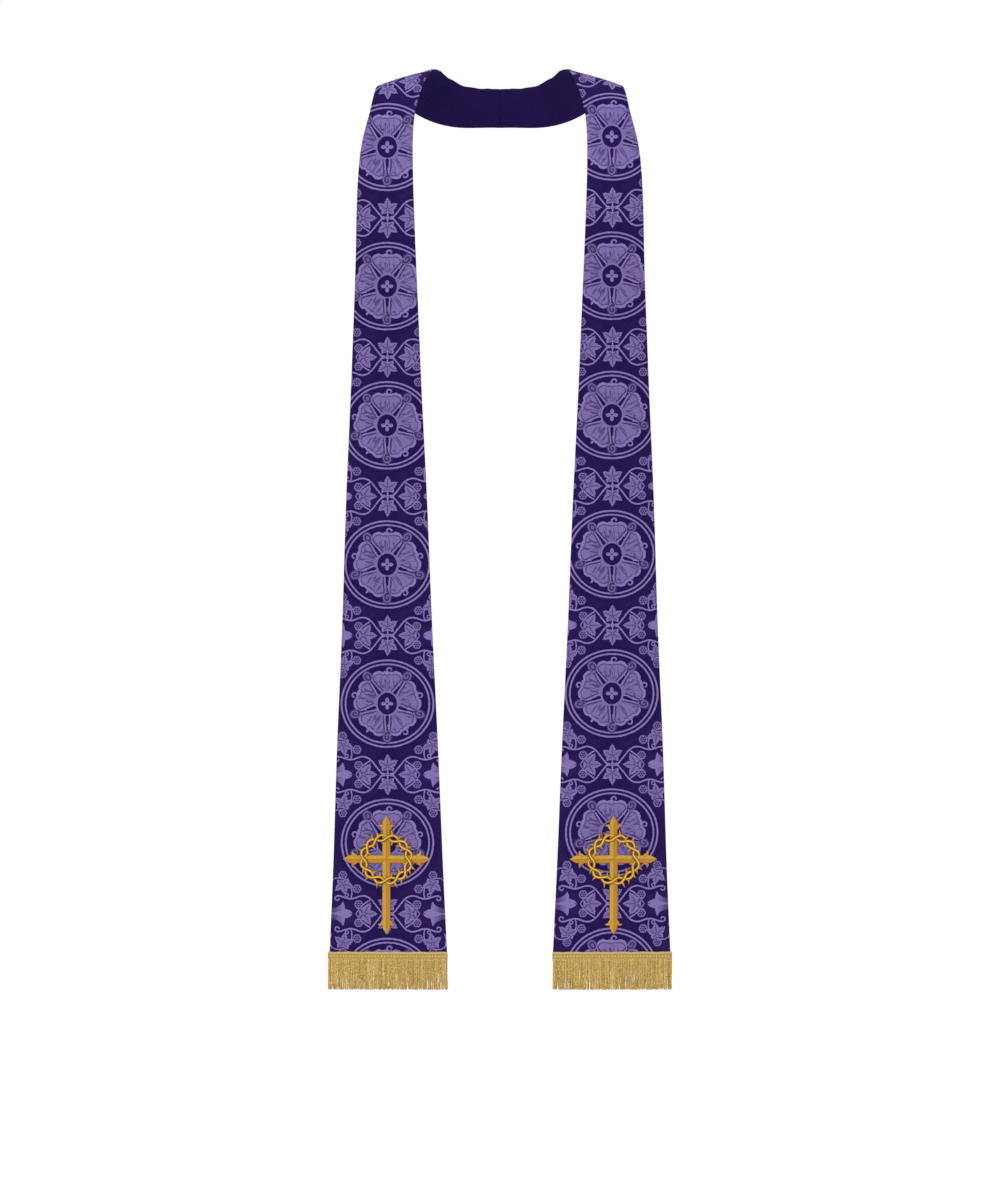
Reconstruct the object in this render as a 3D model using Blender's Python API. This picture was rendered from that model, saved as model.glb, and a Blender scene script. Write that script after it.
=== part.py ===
"""A clerical stole in brocade, worn round a neck, with a gold cross and a gold fringe on each front.

Metres, +Z up. The front faces -Y, and the centre plane of the wearer is X = 0.
The origin lies midway between the two shoulder ridges that carry the cloth.
The cloth is laid on a general figure: a shoulder ridge that slopes down from the neck, a chest
in front of it and an upper back behind it. Nothing of the figure itself is made.
"""

import math
import random
from collections import namedtuple

import bmesh
import bpy
import numpy as np
from mathutils import Matrix, Vector

# Sizes of the cloth
CLOTH_THICKNESS = 0.0020
SEAM_GAP = 0.0003
HEM_Z = -1.1215
HEM_INNER_X = 0.0668
HEM_OUTER_X = 0.2164
PANEL_TOP_Z = -0.2200
PANEL_TOP_INNER_X = 0.1070
PANEL_TOP_OUTER_X = 0.1828
PANEL_GUIDE_ROWS = 5
CLOTH_CROWN = 0.0016
EDGE_RIPPLE_DEPTH = 0.0016
EDGE_RIPPLE_PITCH = 0.310

# Steps of the cloth mesh
NECK_STEP = 0.0088
PANEL_STEP = 0.0310
NECK_END = 0.330
CLOTH_COLUMNS = 8

# The general figure under the cloth
RIDGE_RISE = 0.0258
RIDGE_SLOPE = 0.347
RIDGE_ROUND = 0.060
RIDGE_Y = 0.008
FRONT_FALL = math.radians(68)
FRONT_ROUND = 0.028
CHEST_START = 0.090
CHEST_END = 0.310
BACK_FALL = math.radians(60)
BACK_ROUND = 0.050
CHEST_BREADTH_RADIUS = 0.480
HEM_BREADTH_RADIUS = 0.950
BACK_BREADTH_RADIUS = 0.900
BREADTH_EASE = 0.110
PROFILE_STEP = 0.001
PROFILE_LENGTH = 1.40
SLOPE_STEP = 0.001

# The fringe
FRINGE_TOP_Z = -1.1112
FRINGE_TIP_Z = -1.1590
FRINGE_INNER_X = 0.0664
FRINGE_OUTER_X = 0.2176
HEADING_THICKNESS = 0.0016
HEADING_COLUMNS = 24
STRANDS = 74
STRAND_WIDTH = 0.00145
STRAND_DEPTH = 0.00120
STRAND_ROOT = 0.004
STRAND_LEAN = 0.00022
STRAND_UNEVEN = 0.0012
STRAND_LEVELS = 3

# The cross and the crown of thorns
CROSS_X = 0.1435
CROSS_CENTRE_Z = -0.9932
ARM_TOP = 0.0540
ARM_SIDE = 0.0546
ARM_BOTTOM = 0.0935
BAR_HALF_WIDTH = 0.0053
CROSS_THICKNESS = 0.0012
CROWN_HALF_BREADTH = 0.0288
CROWN_HALF_HEIGHT = 0.0272
CROWN_WEAVE = 0.0032
CROWN_WAVES = 6
CROWN_ROD = 0.0016
CROWN_RISE = 0.0005
CROWN_FLATNESS = 0.65
CROWN_STEPS = 48
CROWN_PHASE = 0.35
ROD_STAGGER = 0.4
THORNS = 24
THORN_LENGTH = 0.0054
THORN_ROOT = 0.0011
THORN_TIP = 0.00015
THORN_START = 0.37
THORN_LEANS = (-0.45, 0.55, 0.55)
BEND_STEP = 0.0250
SHORTEST_EDGE = 0.00002

SIDES = (("left", -1), ("right", 1))

# Rows across the cloth round the neck and over the shoulder. Each gives the inner and the outer
# edge: x from the centre plane, and the distance along the body from the shoulder ridge,
# negative behind it and positive in front of it.
NeckRow = namedtuple("NeckRow", "name inner_x inner_along outer_x outer_along")
NECK_ROWS = (
    NeckRow("nape seam", 0.0000, -0.0840, 0.0000, -0.1410),
    NeckRow("beside the nape", 0.0300, -0.0800, 0.0520, -0.1330),
    NeckRow("behind the neck", 0.0550, -0.0650, 0.0990, -0.1040),
    NeckRow("back of the shoulder", 0.0720, -0.0410, 0.1310, -0.0640),
    NeckRow("before the ridge", 0.0810, -0.0180, 0.1480, -0.0280),
    NeckRow("shoulder ridge", 0.0866, 0.0000, 0.1556, 0.0000),
    NeckRow("over the ridge", 0.0930, 0.0200, 0.1596, 0.0200),
    NeckRow("collarbone", 0.0996, 0.0400, 0.1634, 0.0400),
    NeckRow("below the collarbone", 0.1058, 0.0620, 0.1678, 0.0600),
    NeckRow("upper chest", 0.1094, 0.0860, 0.1728, 0.0800),
)

# Rows down the chest, level from edge to edge.
ChestRow = namedtuple("ChestRow", "name z inner_x outer_x")
CHEST_ROWS = (
    ChestRow("breast", -0.1040, 0.1107, 0.1782),
    ChestRow("below the breast", -0.1500, 0.1096, 0.1812),
    ChestRow("panel top", PANEL_TOP_Z, PANEL_TOP_INNER_X, PANEL_TOP_OUTER_X),
)

# Half of the end of an arm of the cross: distance from the arm's axis and from its tip.
ArmPoint = namedtuple("ArmPoint", "out back")
ARM_END = (
    ArmPoint(0.0000, 0.0000),
    ArmPoint(0.0026, 0.0034),
    ArmPoint(0.0044, 0.0076),
    ArmPoint(0.0046, 0.0098),
    ArmPoint(0.0072, 0.0093),
    ArmPoint(0.0102, 0.0113),
    ArmPoint(0.0079, 0.0126),
    ArmPoint(0.0064, 0.0156),
    ArmPoint(BAR_HALF_WIDTH, 0.0205),
)


def ease(value):
    """A smooth step from 0 to 1."""
    value = np.clip(value, 0.0, 1.0)
    return value * value * (3 - 2 * value)


def fall_profile(fall_angle):
    """Distances out from the ridge and down from it, for each distance along the body."""
    along = np.arange(0.0, PROFILE_LENGTH, PROFILE_STEP)
    middle = along + PROFILE_STEP / 2
    angle = fall_angle(middle)
    out = np.concatenate(([0.0], np.cumsum(np.cos(angle)) * PROFILE_STEP))[:-1]
    down = np.concatenate(([0.0], np.cumsum(np.sin(angle)) * PROFILE_STEP))[:-1]
    return along, out, down


def front_angle(along):
    """How steeply the body falls in front of the ridge."""
    shoulder = FRONT_FALL * (1 - np.exp(-along / FRONT_ROUND))
    chest = (math.pi / 2 - FRONT_FALL) * ease((along - CHEST_START) / (CHEST_END - CHEST_START))
    return shoulder + chest


def back_angle(along):
    """How steeply the body falls behind the ridge."""
    return BACK_FALL * (1 - np.exp(-((along / BACK_ROUND) ** 2)))


FRONT_PROFILE = fall_profile(front_angle)
BACK_PROFILE = fall_profile(back_angle)


def ridge_z(x):
    """Height of the shoulder ridge at a distance x from the centre plane."""
    return RIDGE_RISE - RIDGE_SLOPE * (math.hypot(x, RIDGE_ROUND) - RIDGE_ROUND)


def along_at(x, z):
    """Distance along the front of the body from the ridge down to the height z."""
    steps, _, down = FRONT_PROFILE
    return float(np.interp(ridge_z(x) - z, down, steps))


def body_point(x, along):
    """A point of the general figure at x, a distance along it from the ridge."""
    if along >= 0:
        steps, out, down = FRONT_PROFILE
        reach = float(np.interp(along, steps, out))
        drop = float(np.interp(along, steps, down))
        hang = min(max((along - CHEST_END) / (PROFILE_LENGTH - CHEST_END), 0.0), 1.0)
        radius = CHEST_BREADTH_RADIUS + (HEM_BREADTH_RADIUS - CHEST_BREADTH_RADIUS) * hang
        breadth = x * x / (2 * radius) * (1 - math.exp(-along / BREADTH_EASE))
        return Vector((x, RIDGE_Y - reach + breadth, ridge_z(x) - drop))
    steps, out, down = BACK_PROFILE
    reach = float(np.interp(-along, steps, out))
    drop = float(np.interp(-along, steps, down))
    breadth = x * x / (2 * BACK_BREADTH_RADIUS) * (1 - math.exp(along / BREADTH_EASE))
    return Vector((x, RIDGE_Y + reach - breadth, ridge_z(x) - drop))


def smooth_curve(stations, values):
    """A function through the values that bends as a springy batten does."""
    stations = np.array(stations, float)
    values = np.array(values, float)
    gaps = np.diff(stations)
    slopes = np.diff(values) / gaps
    count = len(stations)
    matrix = np.eye(count)
    target = np.zeros(count)
    for i in range(1, count - 1):
        matrix[i, i - 1] = gaps[i - 1]
        matrix[i, i] = 2 * (gaps[i - 1] + gaps[i])
        matrix[i, i + 1] = gaps[i]
        target[i] = 6 * (slopes[i] - slopes[i - 1])
    bend = np.linalg.solve(matrix, target)

    def curve(at):
        i = int(np.clip(np.searchsorted(stations, at) - 1, 0, count - 2))
        before = stations[i + 1] - at
        after = at - stations[i]
        gap = gaps[i]
        cubic = (bend[i] * before ** 3 + bend[i + 1] * after ** 3) / (6 * gap)
        start = (values[i] / gap - bend[i] * gap / 6) * before
        end = (values[i + 1] / gap - bend[i + 1] * gap / 6) * after
        return float(cubic + start + end)

    return curve


def edge_rows():
    """Every guide row as (inner_x, inner_along, outer_x, outer_along), from the nape to the hem."""
    rows = [row[1:] for row in NECK_ROWS]
    level_rows = [row[1:] for row in CHEST_ROWS]
    for i in range(1, PANEL_GUIDE_ROWS + 1):
        share = i / PANEL_GUIDE_ROWS
        level_rows.append((
            PANEL_TOP_Z + (HEM_Z - PANEL_TOP_Z) * share,
            PANEL_TOP_INNER_X + (HEM_INNER_X - PANEL_TOP_INNER_X) * share,
            PANEL_TOP_OUTER_X + (HEM_OUTER_X - PANEL_TOP_OUTER_X) * share,
        ))
    for z, inner_x, outer_x in level_rows:
        rows.append((inner_x, along_at(inner_x, z), outer_x, along_at(outer_x, z)))
    return rows


def cloth_length_stations(rows):
    """Distance down the middle of the cloth from the nape seam to each row."""
    middles = [((r[0] + r[2]) / 2, (r[1] + r[3]) / 2) for r in rows]
    stations = [0.0]
    for first, second in zip(middles, middles[1:]):
        stations.append(stations[-1] + math.dist(first, second))
    return stations


ROWS = edge_rows()
STATIONS = cloth_length_stations(ROWS)
CLOTH_LENGTH = STATIONS[-1]
EDGE_CURVES = [smooth_curve(STATIONS, [row[i] for row in ROWS]) for i in range(4)]


def edge_ripple(z, share):
    """How far the edges of a hanging panel swing in and out."""
    hanging = float(ease((PANEL_TOP_Z - z) / 0.25))
    to_edge = (2 * share - 1) ** 3
    return EDGE_RIPPLE_DEPTH * hanging * to_edge * math.sin(2 * math.pi * z / EDGE_RIPPLE_PITCH)


def inner_face_point(length, share):
    """A point on the face towards the wearer: length from the nape seam, and share from the
    inner edge, 0, to the outer edge, 1."""
    inner_x, inner_along, outer_x, outer_along = (curve(length) for curve in EDGE_CURVES)
    x = inner_x + (outer_x - inner_x) * share
    along = inner_along + (outer_along - inner_along) * share
    point = body_point(max(x, SEAM_GAP / 2), along)
    across = body_point(x + SLOPE_STEP, along) - body_point(x - SLOPE_STEP, along)
    down = body_point(x, along + SLOPE_STEP) - body_point(x, along - SLOPE_STEP)
    outward = across.cross(down).normalized()
    if outward.y > 0 and along > 0:
        outward.negate()
    crown = CLOTH_CROWN * (1 - (2 * share - 1) ** 2) * float(ease(length / NECK_END))
    return point + outward * (crown + edge_ripple(point.z, share))


def level_share(x, z):
    """Where x lies between the panel's edges at the height z."""
    share = (PANEL_TOP_Z - z) / (PANEL_TOP_Z - HEM_Z)
    inner_x = PANEL_TOP_INNER_X + (HEM_INNER_X - PANEL_TOP_INNER_X) * share
    outer_x = PANEL_TOP_OUTER_X + (HEM_OUTER_X - PANEL_TOP_OUTER_X) * share
    return (x - inner_x) / (outer_x - inner_x)


def panel_point(side, x, z, lift):
    """A point lifted off the front face of a hanging panel, where x is its distance from the
    centre plane."""
    share = level_share(x, z)
    point = body_point(x, along_at(x, z))
    crown = CLOTH_CROWN * (1 - (2 * share - 1) ** 2)
    before, after = (body_point(a, along_at(a, z)) for a in (x - SLOPE_STEP, x + SLOPE_STEP))
    slope = (after.y - before.y) / (after.x - before.x)
    outward = Vector((slope, -1.0, 0.0)).normalized()
    point += outward * (crown + edge_ripple(z, share) + CLOTH_THICKNESS + lift)
    return Vector((side * point.x, point.y, point.z))


def collection(name):
    """A new collection in the scene."""
    made = bpy.data.collections.new(name)
    bpy.context.scene.collection.children.link(made)
    return made


def material(name, colour, roughness, metallic, sheen=0.0):
    """A Principled material."""
    made = bpy.data.materials.new(name)
    made.use_nodes = True
    shader = made.node_tree.nodes["Principled BSDF"]
    shader.inputs["Base Color"].default_value = (*colour, 1.0)
    shader.inputs["Roughness"].default_value = roughness
    shader.inputs["Metallic"].default_value = metallic
    shader.inputs["Sheen Weight"].default_value = sheen
    made.diffuse_color = (*colour, 1.0)
    return made


def add_object(name, mesh, finish, into):
    """An object for the mesh, shaded smooth where it is round."""
    made = bpy.data.objects.new(name, mesh)
    mesh.materials.clear()
    mesh.materials.append(finish)
    mesh.shade_smooth()
    mesh.set_sharp_from_angle(angle=math.radians(40))
    into.objects.link(made)
    return made


def outward_mesh(name, mesh_data):
    """A mesh from a bmesh whose faces are turned to point out."""
    bmesh.ops.recalc_face_normals(mesh_data, faces=mesh_data.faces)
    mesh = bpy.data.meshes.new(name)
    mesh_data.to_mesh(mesh)
    mesh_data.free()
    return mesh


def sheet_mesh(name, front, back):
    """A closed sheet between two grids of points, rows by columns."""
    made = bmesh.new()
    layers = [[[made.verts.new(p) for p in row] for row in layer] for layer in (front, back)]
    rows = len(front)
    columns = len(front[0])
    for r in range(rows - 1):
        for c in range(columns - 1):
            for layer in layers:
                corners = (layer[r][c], layer[r][c + 1], layer[r + 1][c + 1], layer[r + 1][c])
                made.faces.new(corners)
    rim = [(0, c) for c in range(columns)]
    rim += [(r, columns - 1) for r in range(1, rows)]
    rim += [(rows - 1, c) for c in range(columns - 2, -1, -1)]
    rim += [(r, 0) for r in range(rows - 2, 0, -1)]
    for (r1, c1), (r2, c2) in zip(rim, rim[1:] + rim[:1]):
        made.faces.new((layers[0][r1][c1], layers[0][r2][c2], layers[1][r2][c2], layers[1][r1][c1]))
    return outward_mesh(name, made)


def cloth_lengths():
    """Distances from the nape seam at which the cloth has a row of points."""
    neck = np.linspace(0, NECK_END, int(round(NECK_END / NECK_STEP)) + 1)
    panel = CLOTH_LENGTH - NECK_END
    rest = np.linspace(NECK_END, CLOTH_LENGTH, int(round(panel / PANEL_STEP)) + 1)
    return [*neck, *rest[1:]]


def grid_normals(points):
    """The direction square to a grid of points, at each point."""
    grid = np.array([[tuple(p) for p in row] for row in points])
    normals = np.cross(np.gradient(grid, axis=1), np.gradient(grid, axis=0))
    return normals / np.linalg.norm(normals, axis=2, keepdims=True)


def stole_half(name, side, finish, into):
    """One half of the stole, cut in one piece from the nape seam to the hem."""
    lengths = cloth_lengths()
    shares = np.linspace(0, 1, CLOTH_COLUMNS + 1)
    inner = [[inner_face_point(length, share) for share in shares] for length in lengths]
    normals = grid_normals(inner)
    if normals[-1][0][1] > 0:
        normals = -normals
    outer = [
        [point + Vector(normal) * CLOTH_THICKNESS for point, normal in zip(row, normal_row)]
        for row, normal_row in zip(inner, normals)
    ]
    for point in [*inner[0], *outer[0]]:
        point.x = SEAM_GAP / 2
    for layer in (inner, outer):
        for row in layer:
            for point in row:
                point.x *= side
    return add_object(name, sheet_mesh(name, outer, inner), finish, into)


def heading_mesh(side, bottom_z):
    """The woven heading of the fringe, sewn over the hem."""
    back_lift = SEAM_GAP
    front_lift = SEAM_GAP + HEADING_THICKNESS
    across = np.linspace(FRINGE_INNER_X, FRINGE_OUTER_X, HEADING_COLUMNS + 1)
    heights = (FRINGE_TOP_Z, bottom_z)
    front = [[panel_point(side, x, z, front_lift) for x in across] for z in heights]
    back = [[panel_point(side, x, z, back_lift) for x in across] for z in heights]
    return sheet_mesh("heading", front, back)


def strand_rows(side, x, tip_z, lean):
    """Square sections down one strand, from its root in the heading to its tip."""
    top_z = HEM_Z + STRAND_ROOT
    rows = []
    for level in range(STRAND_LEVELS):
        share = level / (STRAND_LEVELS - 1)
        z = top_z + (tip_z - top_z) * share
        half = STRAND_WIDTH / 2 * (1 - 0.25 * share)
        depth = STRAND_DEPTH / 2 * (1 - 0.25 * share)
        middle = panel_point(side, x, max(z, HEM_Z), SEAM_GAP + HEADING_THICKNESS / 2)
        middle.z = z
        middle.x += side * lean * share * share
        rows.append([
            middle + Vector((-half, -depth, 0)),
            middle + Vector((half, -depth, 0)),
            middle + Vector((half, depth, 0)),
            middle + Vector((-half, depth, 0)),
        ])
    return rows


def strands_mesh(side):
    """All the strands of one fringe, side by side."""
    chance = random.Random(7 if side > 0 else 11)
    made = bmesh.new()
    pitch = (FRINGE_OUTER_X - FRINGE_INNER_X) / STRANDS
    for i in range(STRANDS):
        x = FRINGE_INNER_X + pitch * (i + 0.5)
        tip_z = FRINGE_TIP_Z + STRAND_UNEVEN * chance.random()
        lean = STRAND_LEAN * chance.uniform(-1, 1)
        rings = [[made.verts.new(p) for p in row] for row in strand_rows(side, x, tip_z, lean)]
        for upper, lower in zip(rings, rings[1:]):
            for a in range(4):
                b = (a + 1) % 4
                made.faces.new((upper[a], upper[b], lower[b], lower[a]))
        made.faces.new(rings[0])
        made.faces.new(rings[-1])
    return outward_mesh("strands", made)


def evaluated_mesh(source):
    """The object's mesh with its modifiers applied."""
    bpy.context.view_layer.update()
    depsgraph = bpy.context.evaluated_depsgraph_get()
    return bpy.data.meshes.new_from_object(source.evaluated_get(depsgraph))


def scratch_object(mesh):
    """A short-lived object for a mesh."""
    made = bpy.data.objects.new("scratch", mesh)
    bpy.context.scene.collection.objects.link(made)
    return made


def united(meshes):
    """One mesh, the union of closed ones, each of which may cross itself."""
    base = scratch_object(meshes[0])
    others = [scratch_object(mesh) for mesh in meshes[1:]]
    for other in others:
        join = base.modifiers.new("union", "BOOLEAN")
        join.operation = "UNION"
        join.use_self = True
        join.object = other
    mesh = evaluated_mesh(base)
    for made in [base, *others]:
        bpy.data.objects.remove(made)
    return mesh


def fringe(name, side, finish, into):
    """A heading with its strands, fused at their roots."""
    mesh = united([heading_mesh(side, HEM_Z), strands_mesh(side)])
    return add_object(name, mesh, finish, into)


def cross_outline():
    """The outline of the cross, anticlockwise from the tip of the top arm."""
    arms = ((0, ARM_TOP), (90, ARM_SIDE), (180, ARM_BOTTOM), (270, ARM_SIDE))
    outline = []
    for degrees, length in arms:
        turn = Matrix.Rotation(math.radians(degrees), 2)
        left = [Vector((-p.out, length - p.back)) for p in ARM_END]
        right = [Vector((p.out, length - p.back)) for p in reversed(ARM_END[1:])]
        corner = Vector((-BAR_HALF_WIDTH, BAR_HALF_WIDTH))
        outline += [turn @ p for p in [*right, *left, corner]]
    return outline


def cut_in_strips(made):
    """Cuts upright strips across a flat shape, so that it can bend round the wearer."""
    cuts = int(ARM_SIDE / BEND_STEP)
    for i in range(-cuts, cuts):
        place = ((i + 0.5) * BEND_STEP, 0, 0)
        whole = [*made.verts, *made.edges, *made.faces]
        bmesh.ops.bisect_plane(made, geom=whole, plane_co=place, plane_no=(1, 0, 0))


def cross_mesh():
    """The cross as a flat slab, its back at height 0."""
    curve = bpy.data.curves.new("cross", "CURVE")
    curve.dimensions = "2D"
    curve.fill_mode = "BOTH"
    curve.extrude = CROSS_THICKNESS / 2
    points = cross_outline()
    spline = curve.splines.new("POLY")
    spline.points.add(len(points) - 1)
    for point, place in zip(spline.points, points):
        point.co = (place.x, place.y, 0, 1)
    spline.use_cyclic_u = True
    source = scratch_object(curve)
    mesh = evaluated_mesh(source)
    bpy.data.objects.remove(source)
    made = bmesh.new()
    made.from_mesh(mesh)
    bmesh.ops.remove_doubles(made, verts=made.verts, dist=0.00001)
    bmesh.ops.translate(made, verts=made.verts, vec=(0, 0, CROSS_THICKNESS / 2))
    cut_in_strips(made)
    return outward_mesh("cross", made)


def crown_point(turn, strand):
    """A point on one of the two rods that twist round the crown."""
    wave = CROWN_WAVES * turn + CROWN_PHASE + math.pi * strand
    weave = CROWN_WEAVE * math.sin(wave)
    rise = CROWN_RISE * math.cos(wave)
    x = (CROWN_HALF_BREADTH + weave) * math.cos(turn)
    y = (CROWN_HALF_HEIGHT + weave) * math.sin(turn)
    return Vector((x, y, CROWN_ROD + CROWN_RISE + rise))


def rod_mesh(strand):
    """One rod of the crown, a closed ring."""
    curve = bpy.data.curves.new("rod", "CURVE")
    curve.dimensions = "3D"
    curve.bevel_depth = CROWN_ROD
    curve.bevel_resolution = 1
    spline = curve.splines.new("POLY")
    spline.points.add(CROWN_STEPS - 1)
    for i, point in enumerate(spline.points):
        place = crown_point(2 * math.pi * (i + ROD_STAGGER * strand) / CROWN_STEPS, strand)
        point.co = (*place, 1)
    spline.use_cyclic_u = True
    source = scratch_object(curve)
    mesh = evaluated_mesh(source)
    bpy.data.objects.remove(source)
    made = bmesh.new()
    made.from_mesh(mesh)
    bmesh.ops.remove_doubles(made, verts=made.verts, dist=0.00001)
    flatten(made)
    return outward_mesh("rod", made)


def flatten(made):
    """Presses the crown's rods and thorns towards the cloth, as stitching lies."""
    bmesh.ops.scale(made, verts=made.verts, vec=(1, 1, CROWN_FLATNESS))


def thorns_mesh():
    """Small spikes that stand off the crown, leaning along it."""
    made = bmesh.new()
    for i in range(THORNS):
        turn = 2 * math.pi * (i + THORN_START) / THORNS
        strand = i % 2
        root = crown_point(turn, strand)
        outward = 1 if math.sin(CROWN_WAVES * turn + CROWN_PHASE + math.pi * strand) > 0 else -1
        lean = THORN_LEANS[i % 3]
        radial = Vector((math.cos(turn), math.sin(turn), 0)) * outward
        along = Vector((-math.sin(turn), math.cos(turn), 0))
        aim = (radial + along * lean).normalized()
        spin = aim.to_track_quat("Z", "Y").to_matrix().to_4x4()
        place = Matrix.Translation(root + aim * THORN_LENGTH / 2) @ spin
        bmesh.ops.create_cone(
            made, cap_ends=True, segments=3, radius1=THORN_ROOT, radius2=THORN_TIP,
            depth=THORN_LENGTH, matrix=place,
        )
    flatten(made)
    return outward_mesh("thorns", made)


def laid_on_panel(mesh, side):
    """The flat emblem bent to lie on the front face of a panel."""
    made = bmesh.new()
    made.from_mesh(mesh)
    bmesh.ops.dissolve_degenerate(made, dist=SHORTEST_EDGE, edges=made.edges)
    bmesh.ops.triangulate(made, faces=made.faces)
    for vertex in made.verts:
        x = CROSS_X + side * vertex.co.x
        z = CROSS_CENTRE_Z + vertex.co.y
        vertex.co = panel_point(side, x, z, SEAM_GAP + vertex.co.z)
    return outward_mesh("emblem", made)


def emblem(name, side, finish, into):
    """The gold cross with its crown of thorns, sewn on a front."""
    crown = united([rod_mesh(0), rod_mesh(1), thorns_mesh()])
    flat = united([cross_mesh(), crown])
    return add_object(name, laid_on_panel(flat, side), finish, into)


def main():
    for old in list(bpy.data.objects):
        bpy.data.objects.remove(old)
    stole = collection("clerical_stole")
    brocade = material("brocade", (0.075, 0.045, 0.215), 0.62, 0.0, sheen=0.3)
    gold_thread = material("gold_thread", (0.62, 0.36, 0.06), 0.38, 0.35)
    gold_fringe = material("gold_fringe", (0.58, 0.40, 0.14), 0.5, 0.2)
    for word, side in SIDES:
        stole_half(f"half_{word}", side, brocade, stole)
        emblem(f"cross_{word}", side, gold_thread, stole)
        fringe(f"fringe_{word}", side, gold_fringe, stole)


main()
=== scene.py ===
"""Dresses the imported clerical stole: brocade halves, gold crosses with crowns of thorns, and fringes.

Metres, +Z up, front towards -Y. Left is the viewer's left, where X is negative.
Pattern sizes inside the shader groups are in millimetres, as the brocade was charted.
"""

import math
import random
from collections import namedtuple
from functools import reduce

import bmesh
import bpy
import numpy as np
from bpy.props import FloatProperty, FloatVectorProperty, IntProperty, PointerProperty
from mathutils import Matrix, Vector


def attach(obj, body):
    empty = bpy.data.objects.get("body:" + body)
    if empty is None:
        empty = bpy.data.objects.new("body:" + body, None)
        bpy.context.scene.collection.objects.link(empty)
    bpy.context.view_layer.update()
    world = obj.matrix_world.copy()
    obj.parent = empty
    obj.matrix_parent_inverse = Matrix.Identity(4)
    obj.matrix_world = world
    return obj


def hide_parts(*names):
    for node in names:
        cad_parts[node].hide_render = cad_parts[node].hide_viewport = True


bl_info = {
    "name": "Clerical Stole",
    "version": (1, 0, 0),
    "blender": (4, 5, 0),
    "location": "View3D > Sidebar > Stole",
    "description": "Dresses a packed clerical stole in brocade, gold embroidery and fringe",
    "category": "Object",
}

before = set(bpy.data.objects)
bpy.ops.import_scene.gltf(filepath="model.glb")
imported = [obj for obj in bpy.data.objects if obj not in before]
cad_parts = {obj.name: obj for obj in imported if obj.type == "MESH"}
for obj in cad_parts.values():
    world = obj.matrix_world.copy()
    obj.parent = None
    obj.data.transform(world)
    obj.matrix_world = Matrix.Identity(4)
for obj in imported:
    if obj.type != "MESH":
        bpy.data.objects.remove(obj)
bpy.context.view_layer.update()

SIDES = (("left", -1), ("right", 1))
MM = 1000.0

# The cut of the cloth and the figure under it, as in the frame
CLOTH_THICKNESS = 0.0020
SEAM_GAP = 0.0003
HEM_Z = -1.1215
HEM_INNER_X = 0.0668
HEM_OUTER_X = 0.2164
PANEL_TOP_Z = -0.2200
PANEL_TOP_INNER_X = 0.1070
PANEL_TOP_OUTER_X = 0.1828
PANEL_GUIDE_ROWS = 5
CLOTH_CROWN = 0.0016
EDGE_RIPPLE_DEPTH = 0.0016
EDGE_RIPPLE_PITCH = 0.310
NECK_END = 0.330
RIDGE_RISE = 0.0258
RIDGE_SLOPE = 0.347
RIDGE_ROUND = 0.060
RIDGE_Y = 0.008
FRONT_FALL = math.radians(68)
FRONT_ROUND = 0.028
CHEST_START = 0.090
CHEST_END = 0.310
BACK_FALL = math.radians(60)
BACK_ROUND = 0.050
CHEST_BREADTH_RADIUS = 0.480
HEM_BREADTH_RADIUS = 0.950
BACK_BREADTH_RADIUS = 0.900
BREADTH_EASE = 0.110
PROFILE_STEP = 0.001
PROFILE_LENGTH = 1.40
SLOPE_STEP = 0.001

# The fringe and the emblem, as in the frame
FRINGE_TOP_Z = -1.1112
FRINGE_TIP_Z = -1.1590
FRINGE_INNER_X = 0.0664
FRINGE_OUTER_X = 0.2176
HEADING_TOP_Z = FRINGE_TOP_Z + 0.0004
HEADING_BOTTOM_Z = HEM_Z - 0.0006
HEADING_COLUMNS = 152
HEADING_SECTION = (
    (0.00, 0.0006), (0.03, 0.0012), (0.09, 0.0015), (0.16, 0.0015), (0.22, 0.0013),
    (0.30, 0.00135), (0.40, 0.0015), (0.50, 0.00155), (0.60, 0.0015), (0.70, 0.0014),
    (0.78, 0.00135), (0.84, 0.0013), (0.90, 0.0014), (0.96, 0.0013), (1.00, 0.0009),
)
STRAND_INSET = 0.0003
STRAND_ROOT_Z = HEM_Z + 0.0022
STRAND_LIFT = 0.0011
LAYER_STEP = 0.00055
CLUMP_PITCH = 0.0042
SHORTENING = 0.0022
SHORT_STRANDS = 0.05
CLUMP_SWAY = 0.00022
STRAND_SWAY = 0.00052
STRAND_LEAN = 0.0005
STITCH_PITCH = 0.0040
STITCH_LIFT = 0.0016
CROSS_X = 0.1435
CROSS_CENTRE_Z = -0.9932

NeckRow = namedtuple("NeckRow", "name inner_x inner_along outer_x outer_along")
NECK_ROWS = (
    NeckRow("nape seam", 0.0000, -0.0840, 0.0000, -0.1410),
    NeckRow("beside the nape", 0.0300, -0.0800, 0.0520, -0.1330),
    NeckRow("behind the neck", 0.0550, -0.0650, 0.0990, -0.1040),
    NeckRow("back of the shoulder", 0.0720, -0.0410, 0.1310, -0.0640),
    NeckRow("before the ridge", 0.0810, -0.0180, 0.1480, -0.0280),
    NeckRow("shoulder ridge", 0.0866, 0.0000, 0.1556, 0.0000),
    NeckRow("over the ridge", 0.0930, 0.0200, 0.1596, 0.0200),
    NeckRow("collarbone", 0.0996, 0.0400, 0.1634, 0.0400),
    NeckRow("below the collarbone", 0.1058, 0.0620, 0.1678, 0.0600),
    NeckRow("upper chest", 0.1094, 0.0860, 0.1728, 0.0800),
)
RIDGE_ROW = 5
SEAM_LAP = 0.0001

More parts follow.
